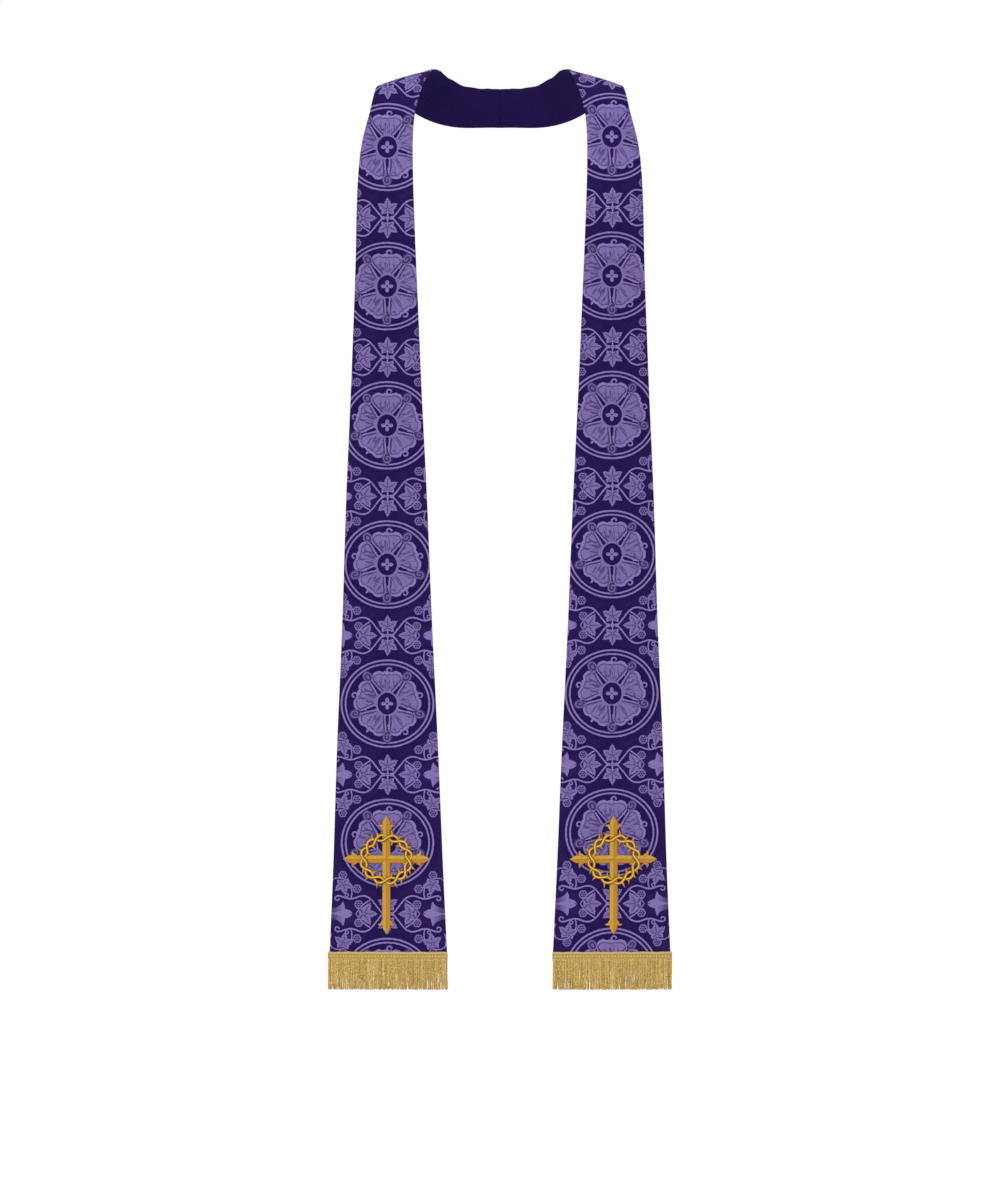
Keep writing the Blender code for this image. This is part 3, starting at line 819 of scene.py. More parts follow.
def heading_mesh(name, side):
    """The woven heading of a fringe: a thin strip with cords along it."""
    section = HEADING_SECTION + ((1.0, 0.0), (0.5, 0.0), (0.0, 0.0))
    vertices = []
    bands = []
    across = np.linspace(FRINGE_INNER_X, FRINGE_OUTER_X, HEADING_COLUMNS + 1)
    for i, x in enumerate(across):
        thin = 0.4 if i in (0, HEADING_COLUMNS) else 1.0
        waver = 0.0002 * math.sin(x * 210 + side) + 0.00012 * math.sin(x * 530)
        for share, height in section:
            z = HEADING_TOP_Z + (HEADING_BOTTOM_Z - HEADING_TOP_Z) * share + waver
            vertices.append(panel_point(side, x, z, SEAM_GAP + height * thin))
            bands.append((x, share, 0.0))
    size = len(section)
    faces = ring_faces(HEADING_COLUMNS + 1, size)
    faces.append(tuple(range(size)))
    faces.append(tuple(range(HEADING_COLUMNS * size, (HEADING_COLUMNS + 1) * size)))
    mesh = outward_mesh(name, vertices, faces)
    give_attribute(mesh, "band", "FLOAT_VECTOR", bands)
    return mesh


def clump(x, chance_row):
    """A slow random sway from strand to strand, which draws them together in tassels."""
    at = x / CLUMP_PITCH
    i = int(math.floor(at))
    share = float(ease(at - i))
    first = chance_row[i % len(chance_row)]
    second = chance_row[(i + 1) % len(chance_row)]
    return first + (second - first) * share


def strand_points(name, side, settings):
    """A point at the top of every strand, with its reach, sway, shade and twist."""
    chance = random.Random(23 if side > 0 else 41)
    roots = []
    reaches = []
    sways = []
    shades = []
    phases = []
    for layer in range(settings.layers):
        sway_row = [chance.uniform(-1, 1) for _ in range(64)]
        shade_row = [chance.uniform(-1, 1) for _ in range(190)]
        step = (FRINGE_OUTER_X - FRINGE_INNER_X - 2 * STRAND_INSET) / settings.strands
        lift = SEAM_GAP + STRAND_LIFT - LAYER_STEP * layer
        for i in range(settings.strands):
            x = FRINGE_INNER_X + STRAND_INSET + step * (i + 0.5 + chance.uniform(-0.3, 0.3))
            x += step * 0.5 * layer
            x = min(x, FRINGE_OUTER_X - STRAND_INSET)
            root = panel_point(side, x, HEM_Z, lift)
            root.z = STRAND_ROOT_Z
            short = SHORTENING * chance.random() ** 2
            if chance.random() < SHORT_STRANDS:
                short += chance.uniform(0.001, 0.005)
            roots.append(root)
            reaches.append(root.z - FRINGE_TIP_Z - short)
            sway = clump(x * 1.6, sway_row) * CLUMP_SWAY + chance.gauss(0, STRAND_SWAY)
            sways.append((sway, chance.gauss(0, STRAND_LEAN), 0.0))
            shades.append(0.72 * chance.random() + 0.14 * (1 + clump(x * 3.3, shade_row)))
            phases.append(chance.uniform(0, 2 * math.pi))
    return points_mesh(name, roots, reach=reaches, sway=sways, shade=shades, phase=phases)


def stitch_points(name, side):
    """A point for each small light stitch along the middle of a heading."""
    z = HEADING_TOP_Z + (HEM_Z - 0.0010 - FRINGE_TOP_Z) * 0.5
    roots = []
    aims = []
    lift = SEAM_GAP + STITCH_LIFT
    count = int((FRINGE_OUTER_X - FRINGE_INNER_X - 0.002) / STITCH_PITCH)
    for i in range(count):
        x = FRINGE_INNER_X + 0.001 + STITCH_PITCH * (i + 0.5)
        root = panel_point(side, x, z, lift)
        tip = panel_point(side, x + 0.0010, z + 0.0002 * (-1) ** i, lift)
        roots.append(root)
        aims.append(tuple((tip - root).normalized()))
    return points_mesh(name, roots, aim=aims)


# Node trees


class Number:
    """A value worked out in a node tree, written as plain arithmetic."""

    def __init__(self, socket):
        self.socket = socket

    def __add__(self, other):
        return calculate("ADD", self, other)

    def __radd__(self, other):
        return calculate("ADD", self, other)

    def __sub__(self, other):
        return calculate("SUBTRACT", self, other)

    def __rsub__(self, other):
        return calculate("SUBTRACT", other, self)

    def __mul__(self, other):
        return calculate("MULTIPLY", self, other)

    def __rmul__(self, other):
        return calculate("MULTIPLY", self, other)

    def __truediv__(self, other):
        return calculate("DIVIDE", self, other)

    def __abs__(self):
        return calculate("ABSOLUTE", self)


def feed(socket, value):
    """Links a worked-out value to a socket, or sets a plain one on it."""
    if isinstance(value, Number):
        socket.id_data.links.new(value.socket, socket)
    else:
        socket.default_value = value


def calculate(operation, *values):
    """One Math node."""
    tree = next(v for v in values if isinstance(v, Number)).socket.id_data
    node = tree.nodes.new("ShaderNodeMath")
    node.operation = operation
    for socket, value in zip(node.inputs, values):
        feed(socket, value)
    return Number(node.outputs[0])


def least(*numbers):
    """The smallest of several values."""
    return reduce(lambda a, b: calculate("MINIMUM", a, b), numbers)


def most(*numbers):
    """The largest of several values."""
    return reduce(lambda a, b: calculate("MAXIMUM", a, b), numbers)


def distance(x, y):
    """Distance from the middle."""
    return calculate("SQRT", x * x + y * y)


def spread(value, start, end, first=0.0, last=1.0):
    """A value that runs evenly from first to last between start and end, and stays there."""
    node = value.socket.id_data.nodes.new("ShaderNodeMapRange")
    for socket, given in zip(node.inputs, (value, start, end, first, last)):
        feed(socket, given)
    return Number(node.outputs[0])


def within(gap, soft=0.6):
    """1 where the gap is below zero, and 0 above, with a soft woven edge."""
    return spread(gap, -soft / 2, soft / 2, 1.0, 0.0)


def between(value, low, high):
    """1 where a value lies between two ends."""
    return within(most(low - value, value - high))


def stroke(gap, half_width, soft=0.6):
    """1 along a drawn line, where the gap is less than half its width."""
    return within(abs(gap) - half_width, soft)


def drawn(value, points, smooth=True):
    """The height of a drawn curve over a value."""
    low, high = points[0][0], points[-1][0]
    tall = max(y for _, y in points)
    node = value.socket.id_data.nodes.new("ShaderNodeFloatCurve")
    curve = node.mapping.curves[0]
    for i, (x, y) in enumerate(points):
        place = ((x - low) / (high - low), y / tall)
        if i in (0, 1):
            curve.points[i].location = place
        else:
            curve.points.new(*place)
    if not smooth:
        for point in curve.points:
            point.handle_type = "VECTOR"
    node.mapping.update()
    feed(node.inputs["Value"], spread(value, low, high))
    return Number(node.outputs[0]) * tall


def joined(tree, x, y, z=0.0):
    """A vector from three values."""
    node = tree.nodes.new("ShaderNodeCombineXYZ")
    for socket, value in zip(node.inputs, (x, y, z)):
        feed(socket, value)
    return node.outputs[0]


def parted(socket):
    """The three values of a vector."""
    node = socket.id_data.nodes.new("ShaderNodeSeparateXYZ")
    node.id_data.links.new(socket, node.inputs[0])
    return [Number(out) for out in node.outputs]


def cloudy(vector, scale, detail=2.0, rough=0.5):
    """A soft random value from 0 to 1."""
    tree = vector.id_data
    node = tree.nodes.new("ShaderNodeTexNoise")
    tree.links.new(vector, node.inputs["Vector"])
    node.inputs["Scale"].default_value = scale
    node.inputs["Detail"].default_value = detail
    node.inputs["Roughness"].default_value = rough
    return Number(node.outputs[0])


def blended(share, first, second):
    """A colour between two, each a plain colour or a worked-out one."""
    tree = share.socket.id_data
    node = tree.nodes.new("ShaderNodeMix")
    node.data_type = "RGBA"
    feed(node.inputs["Factor"], share)
    for label, colour in (("A", first), ("B", second)):
        socket = next(s for s in node.inputs if s.name == label and s.type == "RGBA")
        feed(socket, colour if isinstance(colour, Number) else (*colour, 1.0))
    return Number(next(s for s in node.outputs if s.type == "RGBA"))


def shader_group(name, inputs, outputs):
    """A shader group with number inputs and outputs, its values, and its last node."""
    tree = bpy.data.node_groups.new(name, "ShaderNodeTree")
    for label in inputs:
        tree.interface.new_socket(name=label, in_out="INPUT", socket_type="NodeSocketFloat")
    for label in outputs:
        tree.interface.new_socket(name=label, in_out="OUTPUT", socket_type="NodeSocketFloat")
    source = tree.nodes.new("NodeGroupInput")
    result = tree.nodes.new("NodeGroupOutput")
    return tree, [Number(source.outputs[label]) for label in inputs], result


def give_results(result, **values):
    """Links values to the outputs of a group."""
    for label, value in values.items():
        feed(result.inputs[label], value)


def placed(tree, group, *values):
    """Puts a group in a tree and gives its outputs."""
    node = tree.nodes.new("ShaderNodeGroup")
    node.node_tree = group
    for socket, value in zip(node.inputs, values):
        feed(socket, value)
    return [Number(out) for out in node.outputs]


def leaf_group():
    """A five-lobed vine leaf that points along, from where its veins meet."""
    tree, (along, across), result = shader_group(
        "vine_leaf", ("Along", "Across"), ("Leaf", "Veins"))
    aside = abs(across)
    away = distance(along, aside)
    angle = calculate("DEGREES", calculate("ARCTAN2", aside, along))
    ragged = (cloudy(joined(tree, along, across), 0.55, 2.0) - 0.5) * 2.4
    rim_gap = away - drawn(angle, LEAF, smooth=False) + ragged
    gaps = []
    for degrees, reach in ((0, 11.0), (60, 10.5), (126, 6.0)):
        turn = math.radians(degrees)
        forward = along * math.cos(turn) + aside * math.sin(turn)
        off = abs(along * math.sin(turn) - aside * math.cos(turn))
        gaps.append(most(off - 0.75 + forward * 0.03, forward - reach, 1.0 - forward))
    fleck = cloudy(joined(tree, along * 0.9, across), 0.55, 2.0)
    fleck = spread(fleck, 0.52, 0.62, 0.0, 0.7)
    body = spread(rim_gap, -2.0, -0.7, 1.0, 0.0) * most(fleck, 0.30)
    veins = most(within(least(*gaps), 0.7), body)
    give_results(result, Leaf=within(rim_gap, 0.8), Veins=veins)
    return tree


def grapes_group():
    """A small round bunch of grapes."""
    tree, (x, y), result = shader_group("grapes", ("Across", "Up"), ("Figure",))
    away = distance(x, y)
    angle = calculate("WRAP", calculate("ARCTAN2", y, x), math.pi / 6, -math.pi / 6)
    ring_x = away * calculate("COSINE", angle) - 3.0
    ring_y = away * calculate("SINE", angle)
    hollow = least(distance(ring_x, ring_y), away)
    scallop = calculate("COSINE", angle) * 3.0 + 2.5
    net = within(away - scallop, 0.9) * spread(hollow, 0.85, 1.50, 0.0, 0.78)
    give_results(result, Figure=net)
    return tree


def petal_veins(tree, away, turn, petal):
    """Flowing veins that run out from the rose's middle, from 0 to 1, their own in each petal."""
    arc = turn * (away + 26.0) * 0.115
    place = joined(tree, arc, away * 0.045, petal)
    flow = cloudy(place, 1.0, 1.0)
    reach = cloudy(place, 2.3, 1.0)
    width = spread(away, 15.0, 38.0, 0.085, 0.024) * spread(reach, 0.36, 0.52)
    return within(abs(flow - 0.5) - width, 0.030) * spread(away, 15.0, 18.0)


def scroll(out, off, radius, turn_in):
    """A stroke that curls in on itself, in gaps to its edges."""
    around = calculate("ARCTAN2", off, out)
    coil = spread(around, -math.pi, math.pi, radius, radius - turn_in)
    reach = distance(out, off)
    return least(abs(reach - coil), abs(reach - coil + turn_in))


def roundel_group():
    """A five-petalled rose in a double ring."""
    tree, (x, y), result = shader_group(
        "rose_roundel", ("Across", "Up"), ("Figure", "Lines", "Open"))
    inside = (1.0 - distance(x * (1 / 59.4), y * (1 / 56.2))) * 57.8
    figure = most(stroke(inside - 1.35, 1.05), stroke(inside - 6.4, 0.98))
    away = distance(x, y)
    whole_turn = calculate("ARCTAN2", x, y)
    upright = calculate("GREATER_THAN", abs(abs(whole_turn) - math.pi / 2), 0.3 * math.pi)
    hand = most(calculate("SIGN", x), upright * 2.0 - 1.0)
    turn = calculate("WRAP", whole_turn, math.pi / 5, -math.pi / 5)
    rim = drawn(calculate("DEGREES", abs(turn)), PETAL)
    rim = rim + (cloudy(joined(tree, x, y), 0.16, 1.0) - 0.5) * 2.2
    slit_turn = math.pi / 5 - abs(turn)
    off = away * calculate("SINE", slit_turn)
    out = away * calculate("COSINE", slit_turn)
    slit = spread(out, 16.0, 33.0, 2.35, 0.85) * spread(out, 13.9, 16.4)
    petal = within(most(away - rim, slit - off))
    edge = least(rim - away - 1.1, off - slit)
    thick = spread(off - slit, 2.0, 8.0, 1.05, 0.60)
    contour = stroke(edge - 3.0 + (cloudy(joined(tree, y, x), 0.11, 1.0) - 0.5) * 2.6, thick, 0.8)
    contour = contour * spread(away, 15.0, 17.0)
    vein = petal_veins(tree, away, turn, (whole_turn - turn) * 3.0) * spread(edge, 2.6, 4.4)
    lines = most(contour, vein * 0.82, spread(edge, 0.6, 1.9, 0.0, 0.26))
    # The dark middle with its light four-petalled mark
    middle = (distance(x * (1 / 12.3), y * (1 / 13.9)) - 1.0) * 13.0
    mark_turn = calculate("ARCTAN2", y, x) * 2.0
    mark_rim = abs(calculate("COSINE", mark_turn)) * 6.2 + 1.5
    mark = within(away - mark_rim) * spread(away, 0.8, 1.6)
    petal = petal * (1.0 - within(middle))
    lines = most(lines, stroke(middle - 2.6, 0.35, 0.7) * 0.55)
    figure = most(figure, petal, mark)
    # The sepal that curls out of each slit
    bent = off * calculate("SIGN", turn) * hand
    stalk = stroke(bent - spread(out, 27.0, 38.0, 0.6, 4.6), 0.75) * between(out, 27.0, 40.5)
    curl_out = (out - 42.4) * 0.80
    sepal = within(distance(curl_out, bent) - 6.3)
    curl = within(scroll(curl_out, bent - 0.4, 5.9, 3.6) - 0.66) * sepal * 0.70
    figure = most(figure * (1.0 - sepal), curl, sepal * 0.16, stalk * 0.85)
    # The small hook at the tip of each petal
    hook_out = away * calculate("COSINE", turn) - 42.4
    hook_off = away * calculate("SINE", turn) * hand - 2.6
    hook = distance(hook_out, hook_off) - 3.0
    figure = figure * (1.0 - within(hook))
    figure = most(figure, stroke(hook, 0.90) * spread(hook_out - hook_off, -4.0, -2.6))
    bud = within(most(abs(y) - spread(abs(x), 68.5, 75.0, 0.2, 4.0), 68.5 - abs(x)))
    wide = spread(inside, -11.0, -2.0, 1.0, 0.0)
    give_results(result, Figure=most(figure, bud), Lines=lines, Open=wide)
    return tree


def vine_row_group(leaf, grapes):
    """A row of vines, leaves, grapes and lilies between the roundels."""
    tree, (x, y), result = shader_group("vine_row", ("Across", "Up"), ("Figure", "Lines", "Open"))
    side = abs(x)
    high = abs(y)
    upright, veins = placed(tree, leaf, (high - 10.4) * 0.94, x)
    stem = within(most(side - 0.8, 1.0 - high, high - 6.5))
    knot = least(distance(side, high) - 2.4, distance((side - 5.0) * 0.8, high) - 2.1)
    knot_gap = within(high - 0.35) * within(side - 4.6)
    figure = most(upright, stem, within(knot) * (1.0 - knot_gap * 0.6))
    lines = veins
    half = spread(side, 16.0, 27.0, 1.45, 0.98)
    reach = between(side, 5.5, 65.0)
    vine_gap = abs(high - drawn(side, VINE))
    figure = most(figure, within(vine_gap - half) * reach)
    tail = stroke(distance(side - 64.4, high - 19.6) - 2.7, 0.8)
    tail = tail * spread(side - high, 41.8, 43.4)
    figure = most(figure, tail)
    outer_shoot = (high - 34.0) * (1 / 8.0)
    outer_shoot = stroke(side - 73.6 + outer_shoot * outer_shoot * 1.8, 0.8)
    figure = most(figure, outer_shoot * between(high, 25.0, 44.0))
    inward = 30.2 - side
    leaf_side, veins = placed(tree, leaf, most(inward * 0.86, inward * 0.64), high * 0.88)
    tendril_gap = high - drawn(side, TENDRIL)
    reach = between(side, 22.5, 40.6)
    tendril = stroke(tendril_gap, 1.0) * reach
    halo = stroke(tendril_gap, 2.5) * reach
    leaf_side = leaf_side * (1.0 - halo * 0.95)
    figure = most(figure, leaf_side, tendril)
    lines = most(lines, veins * leaf_side)
    for at, up in BUNCHES:
        figure = most(figure, *placed(tree, grapes, side - at, high - up))
    down = (38.4 - high) * 0.987 + (56.4 - side) * 0.160
    over = (side - 56.4) * 0.987 + (38.4 - high) * 0.160
    corner, veins = placed(tree, leaf, down * 0.98, over * 1.02)
    bend = most(side - 65.6, 0.0)
    stem = stroke(high - 45.2 + bend * bend * 0.16, 0.7)
    figure = most(figure, stem * between(side, 58.0, 69.6))
    figure = most(figure, corner)
    lines = most(lines, veins * corner)
    lean = (high - 27.0) * (1 / 6.0)
    shoot = stroke(side - 45.6 - lean * lean * 0.9, 0.75)
    figure = most(figure, shoot * between(high, 19.0, 34.0))
    figure = most(figure, stroke(distance(side - 52.0, high - 23.6) - 2.0, 0.6))
    flower = within(high - drawn(side, LILY, smooth=False), 0.9) * within(44.9 - side)
    throat = spread(side, 55.4, 68.6, 5.9, 1.1)
    fold = stroke(high - throat, 0.45) * spread(side, 55.5, 60.0, 0.15, 0.90)
    shading = most(within(throat - high, 1.2) * spread(side, 56.5, 68.0, 0.10, 0.88), 0.14)
    notch = within(most(high - 0.5, side - 48.0)) * 0.8
    figure = most(figure, flower * (1.0 - notch))
    lines = most(lines, most(fold, shading) * flower)
    wide = spread(vine_gap, 2.5, 9.0) * spread(distance(x, high - 14.0), 14.0, 22.0)
    give_results(result, Figure=figure, Lines=lines, Open=wide)
    return tree


def brocade_group():
    """The whole repeat of the brocade over its chart."""
    leaf = leaf_group()
    grapes = grapes_group()
    row = vine_row_group(leaf, grapes)
    roundel = roundel_group()
    tree, (x, y), result = shader_group(
        "brocade_figure", ("Across", "Up"), ("Figure", "Lines", "Open"))
    waver = (cloudy(joined(tree, x, y), 0.30, 2.0) - 0.5) * 1.1
    x = x + waver
    y = y + (cloudy(joined(tree, y, x), 0.27, 2.0) - 0.5) * 1.1
    rose_up = calculate("WRAP", y, REPEAT / 2, -REPEAT / 2)
    rose, rose_lines, rose_open = placed(tree, roundel, x, rose_up)
    row_up = calculate("WRAP", y - REPEAT / 2 - ROW_SHIFT[1], REPEAT / 2, -REPEAT / 2)
    vines, vine_lines, vine_open = placed(tree, row, x - ROW_SHIFT[0], row_up)
    lines = most(rose_lines, vine_lines)
    give_results(result, Figure=most(rose, vines), Lines=lines, Open=rose_open * vine_open)
    return tree


def weave_group():
    """Fine threads, one way and the other, with an uneven beat."""
    tree, (x, y, pitch), result = shader_group(
        "fine_threads", ("Across", "Up", "Pitch"), ("Warp", "Weft", "Beat"))
    place = joined(tree, x, y)
    uneven = cloudy(place, 0.8, 2.0) * 2.2
    full = 2 * math.pi
    warp = calculate("SINE", x / pitch * full + uneven)
    weft = calculate("SINE", y / pitch * full + uneven)
    beat = cloudy(joined(tree, x * 0.35, y), 1.6, 3.0, 0.6)
    give_results(result, Warp=warp * 0.5 + 0.5, Weft=weft * 0.5 + 0.5, Beat=beat)
    return tree


def new_material(name, roughness, metallic=0.0, specular=0.5):
    """A material and its Principled shader."""
    made = bpy.data.materials.new(name)
    made.use_nodes = True
    shader = made.node_tree.nodes["Principled BSDF"]
    shader.inputs["Roughness"].default_value = roughness
    shader.inputs["Metallic"].default_value = metallic
    shader.inputs["Specular IOR Level"].default_value = specular
    return made, made.node_tree, shader


def bumped(tree, shader, height, depth, strength=1.0):
    """Raises a surface by a height from 0 to 1, a depth in metres."""
    node = tree.nodes.new("ShaderNodeBump")
    node.inputs["Strength"].default_value = strength
    node.inputs["Distance"].default_value = depth
    feed(node.inputs["Height"], height)
    tree.links.new(node.outputs["Normal"], shader.inputs["Normal"])


def attribute(tree, name):
    """A vector or number that the mesh carries at its points."""
    node = tree.nodes.new("ShaderNodeAttribute")
    node.attribute_name = name
    return node


def brocade_material(settings, threads):
    """Satin brocade: a light figure of weft floats on a dark warp satin, plain behind."""
    made, tree, shader = new_material("brocade", 0.6, specular=0.04)
    chart = tree.nodes.new("ShaderNodeUVMap")
    chart.uv_map = "chart"
    x, y, _ = parted(chart.outputs[0])
    x = x * MM
    y = y * MM
    figure, lines, wide = placed(tree, brocade_group(), x, y)
    face = Number(attribute(tree, "figured").outputs["Fac"])
    figure = figure * face
    light = figure * (1.0 - lines * 0.84)
    warp, weft, beat = placed(tree, threads, x, y, settings.thread_pitch * MM)
    open_ground = cloudy(joined(tree, x, y), 0.022, 2.0)
    mottle = cloudy(joined(tree, x, y * 0.45), 0.55, 2.0)
    wide = wide * face + (1.0 - face) * 0.4
    shade = beat * 0.30 + mottle * 0.75 + open_ground * 0.28 + warp * 0.10 + wide * 0.30 - 0.42
    ground = blended(shade, tuple(settings.ground_colour), tuple(settings.open_colour))
    float_shade = beat * 0.30 + mottle * 0.60 + weft * 0.20 + open_ground * 0.20 - 0.12
    lit = blended(
        float_shade,
        tuple(c * 0.82 for c in settings.figure_colour),
        tuple(c * 1.22 for c in settings.figure_colour),
    )
    feed(shader.inputs["Base Color"], blended(light, ground, lit))
    feed(shader.inputs["Roughness"], spread(light, 0.0, 1.0, 0.72, 0.50))
    raised = figure * 0.5 + weft * figure * 0.28 + warp * (1.0 - figure) * 0.22 + beat * 0.15
    bumped(tree, shader, raised, 0.00022, 0.6)
    shader.inputs["Sheen Weight"].default_value = 0.010
    shader.inputs["Sheen Roughness"].default_value = 0.45
    shader.inputs["Sheen Tint"].default_value = (0.45, 0.38, 0.85, 1.0)
    return made


def gold_thread_material(settings, threads):
    """Rayon satin stitch in one gold with painted light and shade, dark where rows of stitches meet."""
    made, tree, shader = new_material("gold_thread", 0.5, metallic=0.0, specular=0.14)
    along, across, tone = parted(attribute(tree, "stitch").outputs["Vector"])
    along = along * MM
    _, weft, beat = placed(tree, threads, across * 3.0, along + abs(across) * 2.4, 0.38)
    edge = abs(across)
    # Painted light and shade: light gold towards the lamp, dark gold on the far side.
    base = blended(tone, settings.dark_gold, settings.light_gold)
    twig = stroke(tone - 0.30, 0.05, 0.05)
    # Painted shade: a dark line in the groove along the middle, where two rows of stitches meet.
    ridge = spread(edge, 0.04, 0.16, 0.70, 0.0) * (1.0 - twig)
    # Painted shade at the edges, where the padded stitching turns down to the cloth.
    shade_and_thread_texture = most(spread(edge, 0.80, 1.0, 0.0, 0.80), ridge)
    # Darker between stitches and where the thread's beat runs low: the thread's own texture.
    shade_and_thread_texture = most(shade_and_thread_texture, (1.0 - weft) * 0.18 + (0.62 - beat) * 0.5)
    # Painted shade down both sides of each round twig of the crown.
    shade_and_thread_texture = most(shade_and_thread_texture, spread(edge, 0.28, 0.74, 0.0, 1.0) * twig)
    base = blended(shade_and_thread_texture, base, settings.shadow_gold)
    # Painted highlight along the middle of each twig.
    glint = spread(edge, 0.04, 0.34, 1.0, 0.0) * twig
    painted_highlight_gold = tuple(min(c * 1.85, 0.95) for c in settings.light_gold)
    feed(shader.inputs["Base Color"], blended(glint, base, painted_highlight_gold))
    feed(shader.inputs["Roughness"], spread(beat, 0.3, 0.7, 0.55, 0.36))
    bumped(tree, shader, weft * 0.6 + beat * 0.4, 0.00012, 0.55)
    return made


def gold_fringe_material(settings, threads):
    """Twisted gilt thread, each strand its own shade, its tip frayed and browner."""
    made, tree, shader = new_material("gold_fringe", 0.42, metallic=0.15, specular=0.4)
    shade = Number(attribute(tree, "shade").outputs["Fac"])
    fall = Number(attribute(tree, "fall").outputs["Fac"])
    place = tree.nodes.new("ShaderNodeTexCoord").outputs["Object"]
    x, _, z = parted(place)
    down = z * MM + shade * 2.0
    _, weft, beat = placed(tree, threads, x * MM * 1.5, down * 0.5, 0.5)
    grain = cloudy(joined(tree, x * MM, z * MM), 0.60, 2.0)
    tone = shade * 0.68 + grain * 1.60 + beat * 0.60 + weft * 0.12 - 1.20
    base = blended(tone, settings.dark_gold, settings.light_gold)
    base = blended(spread(fall, 0.90, 1.0, 0.0, 0.55), base, settings.tip_gold)
    feed(shader.inputs["Base Color"], base)
    feed(shader.inputs["Roughness"], spread(beat, 0.3, 0.7, 0.5, 0.34))
    bumped(tree, shader, weft, 0.00010, 0.5)
    return made


def gold_heading_material(settings, threads):
    """The woven heading: gilt cords with two darker stripes."""
    made, tree, shader = new_material("gold_heading", 0.46, metallic=0.12, specular=0.4)
    along, share, _ = parted(attribute(tree, "band").outputs["Vector"])
    along = along * MM
    down = share * 10.0
    warp, weft, beat = placed(tree, threads, along + down * 0.5, down, 0.72)
    stripe = most(stroke(share - 0.52, 0.32, 0.10) * 0.72, stroke(share - 0.84, 0.05, 0.06))
    tone = beat * 0.34 + warp * 0.14 + 0.24 - stripe * 0.46
    dark = tuple(c * 0.80 for c in settings.dark_gold)
    light = tuple(c * 0.84 for c in settings.light_gold)
    feed(shader.inputs["Base Color"], blended(tone, dark, light))
    feed(shader.inputs["Roughness"], spread(beat, 0.3, 0.7, 0.52, 0.38))
    bumped(tree, shader, warp * 0.5 + weft * 0.5, 0.00020, 0.7)
    return made


def growth_tree(name, inputs):
    """A Geometry Nodes tree with the given number inputs, its values, and its end.

    What is linked to the end's geometry is made real and given the material.
    """
    tree = bpy.data.node_groups.new(name, "GeometryNodeTree")
    sockets = tree.interface
    sockets.new_socket(name="Geometry", in_out="INPUT", socket_type="NodeSocketGeometry")
    sockets.new_socket(name="Material", in_out="INPUT", socket_type="NodeSocketMaterial")
    for label in inputs:
        sockets.new_socket(name=label, in_out="INPUT", socket_type="NodeSocketFloat")
    sockets.new_socket(name="Geometry", in_out="OUTPUT", socket_type="NodeSocketGeometry")
    source = tree.nodes.new("NodeGroupInput")
    finish = tree.nodes.new("GeometryNodeSetMaterial")
    tree.links.new(source.outputs["Material"], finish.inputs["Material"])
    result = tree.nodes.new("NodeGroupOutput")
    tree.links.new(finish.outputs[0], result.inputs[0])
    return tree, source, finish


def carried(tree, name, kind):
    """A value that the points carry."""
    node = tree.nodes.new("GeometryNodeInputNamedAttribute")
    node.data_type = kind
    node.inputs["Name"].default_value = name
    return node.outputs["Attribute"]


def linked(tree, kind, **inputs):
    """A geometry node with sockets or plain values on the inputs named."""
    node = tree.nodes.new(kind)
    for label, value in inputs.items():
        socket = node.inputs[label.replace("_", " ")]
        feed(socket, Number(value) if isinstance(value, bpy.types.NodeSocket) else value)
    return node


def stored(tree, geometry, name, kind, value):
    """Geometry with a value stored at its points."""
    node = tree.nodes.new("GeometryNodeStoreNamedAttribute")
    node.data_type = kind
    node.domain = "POINT"
    node.inputs["Name"].default_value = name
    tree.links.new(geometry, node.inputs["Geometry"])
    feed(node.inputs["Value"], value)
    return node.outputs[0]


def sown(tree, source, instance, rotation, scale):
    """A copy on every point, turned, scaled and made real."""
    copies = linked(
        tree, "GeometryNodeInstanceOnPoints", Points=source.outputs["Geometry"],
        Instance=instance, Rotation=rotation, Scale=scale,
    )
    return linked(tree, "GeometryNodeRealizeInstances", Geometry=copies.outputs[0]).outputs[0]


def aimed(tree):
    """The turn that points along each point's aim."""
    aim = carried(tree, "aim", "FLOAT_VECTOR")
    return linked(tree, "FunctionNodeAlignRotationToVector", Vector=aim).outputs[0]


def strands_tree():
    """Hangs a twisted strand from every point and lets it sway."""
    tree, source, finish = growth_tree("fringe_strands", ("Radius", "Twist", "Waver"))
    line = linked(tree, "GeometryNodeCurvePrimitiveLine", Start=(0, 0, 0), End=(0, 0, -1))
    fine = linked(tree, "GeometryNodeResampleCurve", Curve=line.outputs[0], Count=30)
    factor = Number(tree.nodes.new("GeometryNodeSplineParameter").outputs["Factor"])
    twist = factor * Number(source.outputs["Twist"])
    tilted = linked(tree, "GeometryNodeSetCurveTilt", Curve=fine.outputs[0], Tilt=twist)
    marked = stored(tree, tilted.outputs[0], "fall", "FLOAT", factor)
    section = linked(tree, "GeometryNodeCurvePrimitiveQuadrilateral", Width=2.0, Height=1.5)
    strand = linked(
        tree, "GeometryNodeCurveToMesh", Curve=marked, Profile_Curve=section.outputs[0],
        Fill_Caps=True,
    )
    radius = Number(source.outputs["Radius"])
    reach = Number(carried(tree, "reach", "FLOAT"))
    phase = Number(carried(tree, "phase", "FLOAT"))
    solid = sown(
        tree, source, strand.outputs[0], joined(tree, 0.0, 0.0, phase),
        joined(tree, radius, radius, reach),
    )
    fall = Number(carried(tree, "fall", "FLOAT"))
    sway_x, sway_y, _ = parted(carried(tree, "sway", "FLOAT_VECTOR"))
    bent = fall * (fall * 0.6 + 0.4)
    wave = fall * 9.0 + phase
    waver = Number(source.outputs["Waver"]) * fall
    side = bent * sway_x + calculate("SINE", wave) * waver
    deep = bent * sway_y + calculate("COSINE", wave) * waver
    moved = linked(
        tree, "GeometryNodeSetPosition", Geometry=solid, Offset=joined(tree, side, deep, 0.0))
    tree.links.new(moved.outputs[0], finish.inputs["Geometry"])
    return tree


